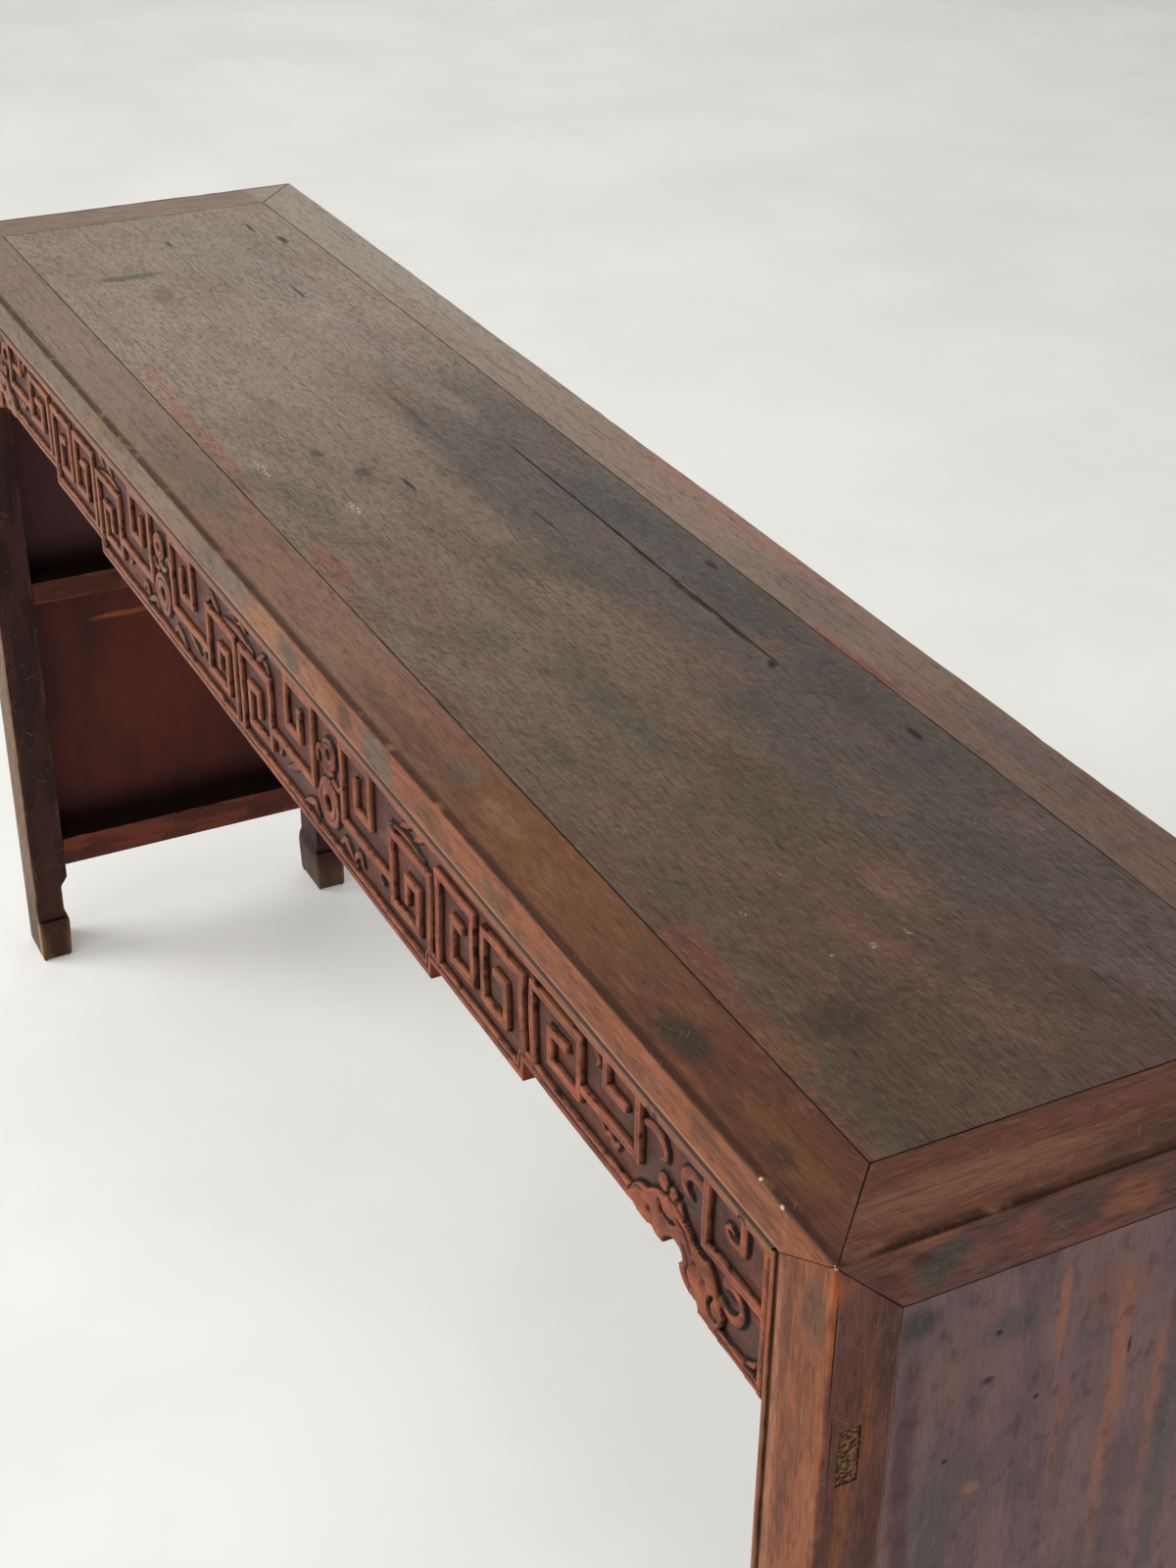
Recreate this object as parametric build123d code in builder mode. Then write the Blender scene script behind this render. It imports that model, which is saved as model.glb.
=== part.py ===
"""Chinese altar table: a long narrow table with mitred corners, panelled ends and a carved apron.

Millimetres. The origin is on the floor at the middle of the table. +X runs along the table,
-Y is the carved front and +Z is up. Left and right are the -X and +X ends.
"""
import os

from build123d import *

os.makedirs("parts", exist_ok=True)

# ---- driving dimensions ----
LENGTH = 1700
DEPTH = 378
HEIGHT = 860

LEG_WIDTH = 54  # along X
LEG_DEPTH = 40  # along Y
FRONT_RAIL_WIDTH = 54
BACK_RAIL_WIDTH = 51
LONG_RAIL_HEIGHT = 32
END_RAIL_WIDTH = 56
END_RAIL_HEIGHT = 40

BOARD_THICKNESS = 16
BOARD_JOINT_Y = 90  # where the two boards of the top meet
SHADOW_GAP = 0.8  # between the floating boards and their frame
TONGUE = 6  # thickness of every tongue
TONGUE_DEPTH = 7
GROOVE_DEPTH = 8

PANEL_THICKNESS = 14
END_RAIL_SETBACK = 2  # the lower rails stand this far outside the legs' inner faces
BOTTOM_RAIL_Z = (120, 154)
MIDDLE_RAIL_Z = (453, 478)

APRON_SETBACK = 10  # from the front face of the legs to the face of the carving
APRON_THICKNESS = 18
RELIEF = 4  # height of the carving above its ground
BAR = 6.5  # width of a fret bar
TENON_THICKNESS = 12
TENON_Z = (716, 752)  # the apron's through tenons

BATTEN_COUNT = 4
BATTEN_WIDTH = 34
BATTEN_HEIGHT = 22

FOOT_HEIGHT = 52
FOOT_STEP = 4  # the foot stands out this far on the leg's inner side

# ---- places worked out from them ----
HALF_L = LENGTH / 2
HALF_D = DEPTH / 2
LEG_X = HALF_L - LEG_WIDTH  # inner face of a leg
LEG_Y = HALF_D - LEG_DEPTH
OPEN_X = HALF_L - END_RAIL_WIDTH  # the opening that the boards lie in
OPEN_FRONT = -HALF_D + FRONT_RAIL_WIDTH
OPEN_BACK = HALF_D - BACK_RAIL_WIDTH
LONG_RAIL_Z = HEIGHT - LONG_RAIL_HEIGHT
END_RAIL_Z = HEIGHT - END_RAIL_HEIGHT
BOARD_Z = HEIGHT - BOARD_THICKNESS
TONGUE_Z = (BOARD_Z + 2, BOARD_Z + 2 + TONGUE)
PANEL_X = HALF_L - PANEL_THICKNESS
TONGUE_X = (PANEL_X + 2, PANEL_X + 2 + TONGUE)
LOWER_RAIL_X = LEG_X + END_RAIL_SETBACK
APRON_FACE = HALF_D - APRON_SETBACK  # distance in front of the middle plane
APRON_GROUND = APRON_FACE - RELIEF
APRON_BACK = APRON_FACE - APRON_THICKNESS


def box_between(low, high, mode=Mode.ADD):
    """Add a box that runs from one corner to the opposite one."""
    centre = [(a + b) / 2 for a, b in zip(low, high)]
    size = [b - a for a, b in zip(low, high)]
    with Locations(tuple(centre)):
        Box(*size, mode=mode)


def save(name, part):
    """Label one finished piece and write it to its own file."""
    part.label = name
    export_step(part, f"parts/{name}.step")


def save_pair(name, right_part):
    """Write a right-hand piece and its mirror image at the other end."""
    save(f"{name}_right", right_part)
    with BuildPart() as left_piece:
        mirror(right_part, about=Plane.YZ)
    save(f"{name}_left", left_piece.part)


# ---- frame of the top: four mitred rails, still without their mortises ----
def long_rail_blank(opening_y, edge_y):
    """A long rail: mitred in plan into the corners of the opening, and against the legs in front view."""
    with BuildPart() as rail:
        with BuildSketch(Plane.XY.offset(LONG_RAIL_Z)):
            Polygon((-HALF_L, edge_y), (HALF_L, edge_y), (OPEN_X, opening_y), (-OPEN_X, opening_y), align=None)
        extrude(amount=LONG_RAIL_HEIGHT)
        with BuildSketch(Plane.XZ):
            Polygon(
                (-HALF_L, HEIGHT), (HALF_L, HEIGHT), (LEG_X, LONG_RAIL_Z), (-LEG_X, LONG_RAIL_Z), align=None
            )
        extrude(amount=DEPTH, both=True, mode=Mode.INTERSECT)
    return rail.part


def end_rail_blank():
    """The right end rail: mitred in plan, and against the legs in end view."""
    with BuildPart() as rail:
        with BuildSketch(Plane.XY.offset(END_RAIL_Z)):
            Polygon(
                (HALF_L, -HALF_D), (HALF_L, HALF_D), (OPEN_X, OPEN_BACK), (OPEN_X, OPEN_FRONT), align=None
            )
        extrude(amount=END_RAIL_HEIGHT)
        with BuildSketch(Plane.YZ):
            Polygon((-HALF_D, HEIGHT), (HALF_D, HEIGHT), (LEG_Y, END_RAIL_Z), (-LEG_Y, END_RAIL_Z), align=None)
        extrude(amount=LENGTH, both=True, mode=Mode.INTERSECT)
    return rail.part


front_blank = long_rail_blank(OPEN_FRONT, -HALF_D)
back_blank = long_rail_blank(OPEN_BACK, HALF_D)
right_blank = end_rail_blank()

# ---- battens under the top, each with a dovetail key along its upper side ----
BATTEN_X = [LENGTH * 0.19 * (i - (BATTEN_COUNT - 1) / 2) for i in range(BATTEN_COUNT)]
BATTEN_TENON = 18
BATTEN_TENON_Z = (LONG_RAIL_Z + 2, LONG_RAIL_Z + 14)
BATTEN_TENON_WIDTH = 22
KEY_HEIGHT = 5
KEY_ROOT = 22
KEY_CROWN = 26

battens = []
for i, x in enumerate(BATTEN_X):
    with BuildPart() as batten:
        box_between(
            (x - BATTEN_WIDTH / 2, OPEN_FRONT, BOARD_Z - BATTEN_HEIGHT),
            (x + BATTEN_WIDTH / 2, OPEN_BACK, BOARD_Z),
        )
        with BuildSketch(Plane.XZ.offset(-OPEN_BACK + SHADOW_GAP)):
            Polygon(
                (x - KEY_ROOT / 2, BOARD_Z), (x + KEY_ROOT / 2, BOARD_Z),
                (x + KEY_CROWN / 2, BOARD_Z + KEY_HEIGHT), (x - KEY_CROWN / 2, BOARD_Z + KEY_HEIGHT),
                align=None,
            )
        extrude(amount=OPEN_BACK - OPEN_FRONT - 2 * SHADOW_GAP)
        box_between(
            (x - BATTEN_TENON_WIDTH / 2, OPEN_FRONT - BATTEN_TENON, BATTEN_TENON_Z[0]),
            (x + BATTEN_TENON_WIDTH / 2, OPEN_BACK + BATTEN_TENON, BATTEN_TENON_Z[1]),
        )
    battens.append(batten.part)
    save(f"top_batten_{i + 1}", batten.part)

# ---- the two boards of the top: they float, with a tongue in the frame's groove all round ----
EDGE_X = OPEN_X - SHADOW_GAP
with BuildPart() as top_board_front:
    box_between((-EDGE_X, OPEN_FRONT + SHADOW_GAP, BOARD_Z), (EDGE_X, BOARD_JOINT_Y, HEIGHT))
    box_between(
        (-OPEN_X - TONGUE_DEPTH, OPEN_FRONT - TONGUE_DEPTH, TONGUE_Z[0]),
        (OPEN_X + TONGUE_DEPTH, BOARD_JOINT_Y, TONGUE_Z[1]),
    )
    box_between(
        (-OPEN_X - TONGUE_DEPTH, BOARD_JOINT_Y - TONGUE_DEPTH, TONGUE_Z[0]),
        (OPEN_X + TONGUE_DEPTH, BOARD_JOINT_Y, TONGUE_Z[1]),
        mode=Mode.SUBTRACT,
    )
    for batten_part in battens:
        add(batten_part, mode=Mode.SUBTRACT)
save("top_board_front", top_board_front.part)

with BuildPart() as top_board_back:
    box_between((-EDGE_X, BOARD_JOINT_Y, BOARD_Z), (EDGE_X, OPEN_BACK - SHADOW_GAP, HEIGHT))
    box_between(
        (-OPEN_X - TONGUE_DEPTH, BOARD_JOINT_Y - TONGUE_DEPTH, TONGUE_Z[0]),
        (OPEN_X + TONGUE_DEPTH, OPEN_BACK + TONGUE_DEPTH, TONGUE_Z[1]),
    )
    for batten_part in battens:
        add(batten_part, mode=Mode.SUBTRACT)
save("top_board_back", top_board_back.part)

# ---- carved front apron ----
# Its lower edge climbs in two steps from the middle to a cloud-shaped bracket beside each leg.
STEP_X = (360, 498)
EDGE_Z = (705, 718, 732)
BRACKET_X = 637  # where the bracket begins
BRACKET_TAIL = (712, 713)  # where it ends, above a short straight run to the leg
EDGE_Z_AT_LEG = 710
APRON_TOP = LONG_RAIL_Z
TOP_BORDER_Z = 806
EDGE_BORDER = 8
END_BORDER_X = 780
MIRROR_X = 183  # the middle group of frets is symmetrical about this line

# Centre lines of the fret bars of one half, from the middle of the table towards the leg.
MIDDLE_FRETS = [
    [(7, 709), (7, 782), (69, 782), (69, 728), (25, 728), (25, 760), (44, 760), (44, 742)],
    [(69, 743), (155, 743), (155, 803.5), (105, 803.5)],
    [(105, 803.5), (105, 765), (130, 765), (130, 786)],
]
PAIR_MIRROR_X = 434
PAIR_FRET = [(372, 722), (372, 793), (426, 793), (426, 743), (395, 743), (395, 772), (408, 772)]
OUTER_FRETS = [
    [(510, 737), (510, 797), (571, 797), (571, 757), (533, 757), (533, 779), (552, 779)],
    [(571, 765), (641, 765), (641, 806)],
    [(603, 806), (603, 788), (625, 788)],
    [(716, 806), (716, 763), (778, 763)],
    [(756, 806), (756, 786)],
]


def mirrored(path, axis_x):
    """The same path on the other side of an upright line."""
    return [(2 * axis_x - x, z) for x, z in path]


HALF_FRETS = (
    MIDDLE_FRETS
    + [mirrored(path, MIRROR_X) for path in MIDDLE_FRETS]
    + [PAIR_FRET, mirrored(PAIR_FRET, PAIR_MIRROR_X)]
    + OUTER_FRETS
)


def apron_edge():
    """Lower edge of the right half, from the middle to the leg, with the bracket's lobes as arcs."""
    Polyline(
        (0, EDGE_Z[0]), (STEP_X[0], EDGE_Z[0]), (STEP_X[0], EDGE_Z[1]), (STEP_X[1], EDGE_Z[1]),
        (STEP_X[1], EDGE_Z[2]), (BRACKET_X, EDGE_Z[2]),
    )
    ThreePointArc((BRACKET_X, EDGE_Z[2]), (648, 729.5), (660, 732))
    ThreePointArc((660, 732), (667, 729.5), (673, 731))
    ThreePointArc((673, 731), (679, 739.5), (689, 741))
    ThreePointArc((689, 741), (693.5, 735.5), (690, 730))
    ThreePointArc((690, 730), (697, 721), (707, 719))
    Polyline((707, 719), (711, 719), BRACKET_TAIL, (LEG_X, EDGE_Z_AT_LEG))


def edge_border():
    """The raised border that follows the stepped part of the lower edge."""
    half = EDGE_BORDER / 2
    return [
        (0, EDGE_Z[0] + half), (STEP_X[0] - half, EDGE_Z[0] + half), (STEP_X[0] - half, EDGE_Z[1] + half),
        (STEP_X[1] - half, EDGE_Z[1] + half), (STEP_X[1] - half, EDGE_Z[2] + half),
        (BRACKET_X, EDGE_Z[2] + half),
    ]


def bars(path, width):
    """Square-ended bars along an upright and level path."""
    for (x1, z1), (x2, z2) in zip(path, path[1:]):
        with Locations(((x1 + x2) / 2, (z1 + z2) / 2)):
            Rectangle(abs(x2 - x1) + width, abs(z2 - z1) + width)


with BuildPart() as apron_half:
    with BuildSketch(Plane.XZ.offset(APRON_BACK)) as silhouette:
        with BuildLine():
            apron_edge()
            Polyline((LEG_X, EDGE_Z_AT_LEG), (LEG_X, APRON_TOP), (0, APRON_TOP), (0, EDGE_Z[0]))
        make_face()
    extrude(amount=APRON_THICKNESS - RELIEF)
    with BuildSketch(Plane.XZ.offset(APRON_GROUND)):
        for fret in HALF_FRETS:
            bars(fret, BAR)
        bars(edge_border(), EDGE_BORDER)
        with Locations(((LEG_X + END_BORDER_X) / 2, (APRON_TOP + EDGE_Z_AT_LEG) / 2)):
            Rectangle(LEG_X - END_BORDER_X, APRON_TOP - EDGE_Z_AT_LEG)
        with Locations((LEG_X / 2, (APRON_TOP + TOP_BORDER_Z) / 2)):
            Rectangle(LEG_X, APRON_TOP - TOP_BORDER_Z)
        with BuildLine():  # the bracket's cloud
            ThreePointArc((633, 738), (640, 749), (653, 752))
            ThreePointArc((653, 752), (682, 766), (708, 752))
            ThreePointArc((708, 752), (722, 753), (727, 742))
            ThreePointArc((727, 742), (734, 732), (728, 720))
            Polyline((728, 720), (END_BORDER_X, 719), (END_BORDER_X, 708), (700, 708), (633, 728), (633, 738))
        make_face()
    extrude(amount=RELIEF)
    # trim what stands below the lower edge, such as the bracket's notch
    with BuildSketch(Plane.XZ.offset(APRON_BACK)):
        add(silhouette.sketch)
    extrude(amount=APRON_THICKNESS, mode=Mode.INTERSECT)

APRON_TONGUE = 6
APRON_TONGUE_Y = (-APRON_FACE + RELIEF, -APRON_FACE + RELIEF + TONGUE)
TENON_END_X = HALF_L - 0.8  # the through tenons end just short of the legs' outer faces
WEDGE_TIP_X = HALF_L - 24
WEDGE_WIDTH = 4.4  # at its thick end
with BuildPart() as tenon_wedge:
    with BuildSketch(Plane.XZ.offset(APRON_FACE - TENON_THICKNESS)):
        middle_z = sum(TENON_Z) / 2
        Polygon(
            (WEDGE_TIP_X, middle_z), (TENON_END_X, middle_z + WEDGE_WIDTH / 2),
            (TENON_END_X, middle_z - WEDGE_WIDTH / 2), align=None,
        )
    extrude(amount=TENON_THICKNESS)

with BuildPart() as apron_front:
    add(apron_half.part)
    mirror(apron_half.part, about=Plane.YZ)
    box_between(  # tongue into the rail above
        (-LEG_X, APRON_TONGUE_Y[0], APRON_TOP), (LEG_X, APRON_TONGUE_Y[1], APRON_TOP + APRON_TONGUE)
    )
    for side in (-1, 1):
        ends = sorted((side * LEG_X, side * TENON_END_X))
        box_between(
            (ends[0], -APRON_FACE, TENON_Z[0]), (ends[1], -APRON_FACE + TENON_THICKNESS, TENON_Z[1])
        )
    add(tenon_wedge.part, mode=Mode.SUBTRACT)
    add(tenon_wedge.part.mirror(Plane.YZ), mode=Mode.SUBTRACT)
save("apron_front", apron_front.part)
save_pair("apron_wedge", tenon_wedge.part)

# ---- plain back apron ----
BACK_APRON_Z = 752
BACK_TENON_Z = (764, 800)
BACK_TENON_END_X = HALF_L - 14  # these tenons are blind
with BuildPart() as apron_back:
    box_between((-LEG_X, APRON_BACK, BACK_APRON_Z), (LEG_X, APRON_FACE, LONG_RAIL_Z))
    box_between(
        (-LEG_X, -APRON_TONGUE_Y[1], LONG_RAIL_Z), (LEG_X, -APRON_TONGUE_Y[0], LONG_RAIL_Z + APRON_TONGUE)
    )
    box_between(
        (-BACK_TENON_END_X, APRON_FACE - TENON_THICKNESS, BACK_TENON_Z[0]),
        (BACK_TENON_END_X, APRON_FACE, BACK_TENON_Z[1]),
    )
save("apron_back", apron_back.part)

# ---- the two lower rails of the right end frame, tenoned into the legs ----
RAIL_TENON = 30
RAIL_TENON_X = (LOWER_RAIL_X + 14, LOWER_RAIL_X + 14 + TENON_THICKNESS)
RAIL_SHOULDER = 4  # above and below the tenon


def lower_rail(z_low, z_high, panel_below):
    """A rail between the legs, with a groove for the panel above and, on the middle rail, below."""
    with BuildPart() as rail:
        box_between((LOWER_RAIL_X, -LEG_Y, z_low), (HALF_L, LEG_Y, z_high))
        box_between(
            (RAIL_TENON_X[0], -LEG_Y - RAIL_TENON, z_low + RAIL_SHOULDER),
            (RAIL_TENON_X[1], LEG_Y + RAIL_TENON, z_high - RAIL_SHOULDER),
        )
        box_between(
            (TONGUE_X[0], -LEG_Y, z_high - GROOVE_DEPTH), (TONGUE_X[1], LEG_Y, z_high), mode=Mode.SUBTRACT
        )
        if panel_below:
            box_between(
                (TONGUE_X[0], -LEG_Y, z_low), (TONGUE_X[1], LEG_Y, z_low + GROOVE_DEPTH), mode=Mode.SUBTRACT
            )
    return rail.part


bottom_rail = lower_rail(*BOTTOM_RAIL_Z, panel_below=False)
middle_rail = lower_rail(*MIDDLE_RAIL_Z, panel_below=True)
save_pair("end_rail_bottom", bottom_rail)
save_pair("end_rail_middle", middle_rail)


# ---- end panels: flush with the frame outside, with a tongue in it all round ----
def end_panel(z_low, z_high):
    with BuildPart() as panel:
        box_between((PANEL_X, -LEG_Y, z_low), (HALF_L, LEG_Y, z_high))
        box_between(
            (TONGUE_X[0], -LEG_Y - TONGUE_DEPTH, z_low - TONGUE_DEPTH),
            (TONGUE_X[1], LEG_Y + TONGUE_DEPTH, z_high + TONGUE_DEPTH),
        )
    return panel.part


lower_panel = end_panel(BOTTOM_RAIL_Z[1], MIDDLE_RAIL_Z[0])
upper_panel = end_panel(MIDDLE_RAIL_Z[1], END_RAIL_Z)
save_pair("end_panel_lower", lower_panel)
save_pair("end_panel_upper", upper_panel)

# ---- legs ----
NECK_Z = (60, 98)  # the scooped neck above the foot
NECK_CUT = 8
NECK_CURVE = (5, 6)  # the scoop's upper curve begins this far below the neck's top and ends this far above
FOOT_CUT = (6, 4)  # at the floor and at the top of the foot
FOOT_CURVE = 6  # height of the curve from the foot into the neck, below the foot's top
BEAD = 5  # width of the bead along the inner front edge
BEAD_GROOVE = (3, 2)  # width and depth of the groove beside it
TENON_INTO_LONG = (802, 820, 164, 178, HEIGHT - 10)  # x, x, y, y from the middle plane, top
TENON_INTO_END = (822, 834, 150, 160, HEIGHT - 14)
TENON_ROOT_Z = HEIGHT - 60


def leg_tenons():
    """The two tenons on a right front leg's head, one for each rail of the top."""
    for x_low, x_high, y_low, y_high, top in (TENON_INTO_LONG, TENON_INTO_END):
        box_between((x_low, -y_high, TENON_ROOT_Z), (x_high, -y_low, top))


def leg_body():
    """A right front leg without mortises: end-view profile with the scooped neck, and a wider foot."""
    foot_top = (-LEG_Y - FOOT_CUT[1], FOOT_HEIGHT - FOOT_CURVE)
    curve_low = (-LEG_Y - NECK_CUT, NECK_Z[1] - NECK_CURVE[0])
    curve_top = (-LEG_Y, NECK_Z[1] + NECK_CURVE[1])
    with BuildPart() as body:
        with BuildSketch(Plane.YZ.offset(LEG_X - FOOT_STEP)):
            with BuildLine():
                Polyline(
                    curve_top, (-LEG_Y, HEIGHT), (-HALF_D, HEIGHT), (-HALF_D, 0),
                    (-LEG_Y - FOOT_CUT[0], 0), foot_top,
                )
                ThreePointArc(
                    foot_top, (-LEG_Y - FOOT_CUT[1] - 1, FOOT_HEIGHT), (-LEG_Y - NECK_CUT, NECK_Z[0])
                )
                Line((-LEG_Y - NECK_CUT, NECK_Z[0]), curve_low)
                ThreePointArc(curve_low, (-LEG_Y - 0.7 * NECK_CUT, NECK_Z[1] + 2), curve_top)
            make_face()
        extrude(amount=LEG_WIDTH + FOOT_STEP)
        box_between(  # above the foot the leg's inner face steps back
            (LEG_X - FOOT_STEP, -HALF_D, FOOT_HEIGHT), (LEG_X, -LEG_Y, HEIGHT), mode=Mode.SUBTRACT
        )
    return body.part


with BuildPart() as leg_head:
    leg_tenons()

# the legs of the back are the front ones turned round, so each takes its own rails away from its head
with BuildPart() as leg_front:
    add(leg_body())
    add(front_blank, mode=Mode.SUBTRACT)
    add(right_blank, mode=Mode.SUBTRACT)
    leg_tenons()
    box_between(  # groove that sets off the bead, up to the mitre
        (LEG_X + BEAD, -HALF_D, 0), (LEG_X + BEAD + BEAD_GROOVE[0], -HALF_D + BEAD_GROOVE[1], LONG_RAIL_Z),
        mode=Mode.SUBTRACT,
    )
    for piece in (apron_front.part, tenon_wedge.part, bottom_rail, middle_rail, lower_panel, upper_panel):
        add(piece, mode=Mode.SUBTRACT)
save_pair("leg_front", leg_front.part)

with BuildPart() as leg_back:
    mirror(leg_body(), about=Plane.XZ)
    add(back_blank, mode=Mode.SUBTRACT)
    add(right_blank, mode=Mode.SUBTRACT)
    mirror(leg_head.part, about=Plane.XZ)
    for piece in (apron_back.part, bottom_rail, middle_rail, lower_panel, upper_panel):
        add(piece, mode=Mode.SUBTRACT)
save_pair("leg_back", leg_back.part)

# ---- rails of the top, now with their grooves and mortises ----
COVE_HEIGHT = 4
COVE_DEPTH = 2.5


def cut_heads():
    """Mortises for the tenons of all four legs."""
    add(leg_head.part, mode=Mode.SUBTRACT)
    for plane in (Plane.XZ, Plane.YZ):
        add(leg_head.part.mirror(plane), mode=Mode.SUBTRACT)
    add(leg_head.part.mirror(Plane.XZ).mirror(Plane.YZ), mode=Mode.SUBTRACT)


def cut_board_groove():
    """The groove that the boards' tongues lie in, all round the opening."""
    box_between(
        (-OPEN_X - GROOVE_DEPTH, OPEN_FRONT - GROOVE_DEPTH, TONGUE_Z[0]),
        (OPEN_X + GROOVE_DEPTH, OPEN_BACK + GROOVE_DEPTH, TONGUE_Z[1]),
        mode=Mode.SUBTRACT,
    )


with BuildPart() as top_rail_front:
    add(front_blank)
    cut_heads()
    cut_board_groove()
    for piece in battens + [apron_front.part]:
        add(piece, mode=Mode.SUBTRACT)
    box_between(  # the moulding under the front edge
        (-LEG_X, -HALF_D, LONG_RAIL_Z), (LEG_X, -HALF_D + COVE_DEPTH, LONG_RAIL_Z + COVE_HEIGHT),
        mode=Mode.SUBTRACT,
    )
save("top_rail_front", top_rail_front.part)

with BuildPart() as top_rail_back:
    add(back_blank)
    cut_heads()
    cut_board_groove()
    for piece in battens + [apron_back.part]:
        add(piece, mode=Mode.SUBTRACT)
save("top_rail_back", top_rail_back.part)

with BuildPart() as top_rail_end:
    add(right_blank)
    cut_heads()
    cut_board_groove()
    add(upper_panel, mode=Mode.SUBTRACT)
save_pair("top_rail_end", top_rail_end.part)
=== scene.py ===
# %% [markdown]
# # A long altar table with a carved apron
#
# The table is a long narrow board on four square legs, closed at both ends by panels, with a carved
# apron under its front edge. It was lacquered a dark red brown more than a hundred years ago and has
# been rubbed, knocked and cleaned ever since, so most of the work here is in worn edges and old lacquer.
#
# The engineering model already holds every rail, leg, panel and tenon at its real size. We load it
# first, and measure the new meshes against it, so that nothing has to be fitted by eye afterwards.

# %% Load the engineering model
import math

import bmesh
import bpy
import numpy as np
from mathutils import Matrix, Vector, noise


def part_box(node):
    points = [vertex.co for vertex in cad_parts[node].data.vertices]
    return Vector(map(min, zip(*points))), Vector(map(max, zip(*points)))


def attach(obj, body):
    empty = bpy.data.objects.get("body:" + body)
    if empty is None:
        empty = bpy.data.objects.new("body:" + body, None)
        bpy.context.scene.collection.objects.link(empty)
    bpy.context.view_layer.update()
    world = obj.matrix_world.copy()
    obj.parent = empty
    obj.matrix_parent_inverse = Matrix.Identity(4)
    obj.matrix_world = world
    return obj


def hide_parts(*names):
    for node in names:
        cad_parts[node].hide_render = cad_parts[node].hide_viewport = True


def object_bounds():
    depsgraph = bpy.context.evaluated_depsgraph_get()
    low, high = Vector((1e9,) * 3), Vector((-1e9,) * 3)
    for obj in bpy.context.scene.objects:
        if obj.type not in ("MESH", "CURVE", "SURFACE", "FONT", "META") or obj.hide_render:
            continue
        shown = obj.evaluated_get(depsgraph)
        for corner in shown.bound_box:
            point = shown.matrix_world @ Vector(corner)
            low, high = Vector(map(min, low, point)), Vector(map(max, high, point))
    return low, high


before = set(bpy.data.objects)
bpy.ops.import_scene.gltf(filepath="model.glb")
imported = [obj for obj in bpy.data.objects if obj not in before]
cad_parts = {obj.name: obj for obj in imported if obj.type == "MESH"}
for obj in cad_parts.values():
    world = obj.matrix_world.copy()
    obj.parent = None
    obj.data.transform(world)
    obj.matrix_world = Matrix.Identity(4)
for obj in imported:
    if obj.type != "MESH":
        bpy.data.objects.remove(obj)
cad_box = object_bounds()
print("solids:", len(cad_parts), "size in metres:", [round(c, 3) for c in cad_box[1] - cad_box[0]])

# %% [markdown]
# ## Measures
#
# A cabinet maker works in millimetres, so the mesh code below does too, and each mesh is turned into
# metres only when it becomes an object. The main lines of the table are read from the solids: where
# the legs' inner faces are, where the opening of the top lies, and how deep the rails are.

# %% Read the main lines from the solids
MM = 0.001  # one millimetre in Blender's metres


def box_mm(node):
    """Lowest and highest corner of a solid, in millimetres."""
    return [np.round(np.array(corner) / MM, 2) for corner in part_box(node)]


HALF_L, HALF_D, HEIGHT = (round(c / MM, 2) for c in cad_box[1])
OPEN_FRONT = box_mm("top_rail_front")[1][1]  # the opening that the boards lie in
OPEN_BACK = box_mm("top_rail_back")[0][1]
OPEN_X = box_mm("top_rail_end_right")[0][0]
LONG_RAIL_Z = box_mm("top_rail_front")[0][2]
END_RAIL_Z = box_mm("top_rail_end_right")[0][2]
LEG_Y = -box_mm("leg_front_right")[1][1]
FOOT_STEP = 4  # the foot stands out this far on the leg's inner side
LEG_X = box_mm("leg_front_right")[0][0] + FOOT_STEP
APRON_FACE, APRON_BACK = (-corner[1] for corner in box_mm("apron_front"))  # in front of the table's middle
print("legs from x", LEG_X, "to", HALF_L, "and from y", LEG_Y, "to", HALF_D)
print("the apron is", APRON_FACE - APRON_BACK, "mm thick")

# %% [markdown]
# Each end is closed by two panels between two lower rails. Their heights come from the solids as well: a
# rail's box gives them directly, and a panel shows between two rails. Its own box would be too large,
# because its tongues reach into the rails' grooves.

# %% Read the end frames from the solids
END_RAIL_X = box_mm("end_rail_middle_right")[0][0]  # inner faces of the rails and of the panels
PANEL_X = box_mm("end_panel_upper_right")[0][0]
RAIL_Z = {}
for level in ("bottom", "middle"):
    RAIL_Z[level] = tuple(corner[2] for corner in box_mm(f"end_rail_{level}_right"))
PANEL_Z = {
    "lower": (RAIL_Z["bottom"][1], RAIL_Z["middle"][0]),
    "upper": (RAIL_Z["middle"][1], END_RAIL_Z),
}
print("lower rails from z to z:", RAIL_Z)

# %% [markdown]
# ## Camera, floor and light
#
# We look down on the right-hand end from standing height. The floor is one large pale sheet that fills
# the whole picture. Three big soft lamps and a pale sky give the even light of a white room: the
# strongest comes from the front left, so the carving has a lit side and a shaded side.

# %% Camera
scene = bpy.context.scene
camera = bpy.data.objects.new("camera", bpy.data.cameras.new("camera"))
scene.collection.objects.link(camera)
scene.camera = camera
camera.location = (1.5123, -0.6576, 1.5875)
camera.rotation_euler = [math.radians(angle) for angle in (59.423, -0.542, 63.152)]
camera.data.lens = 53.99  # on a 36 mm sensor
camera.data.clip_end = 200  # the floor's far edge has to be in reach
scene.view_settings.view_transform = "Standard"
print("camera at", [round(c, 2) for c in camera.location])

# %% [markdown]
# A studio lights a dark lacquered table with large soft boxes, because a small lamp leaves hard spots on
# the film. Disks three to four metres wide do the same here. The sky fills in the shadows, and it is
# brighter at eye level than overhead, so that upright faces don't go black.

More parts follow.
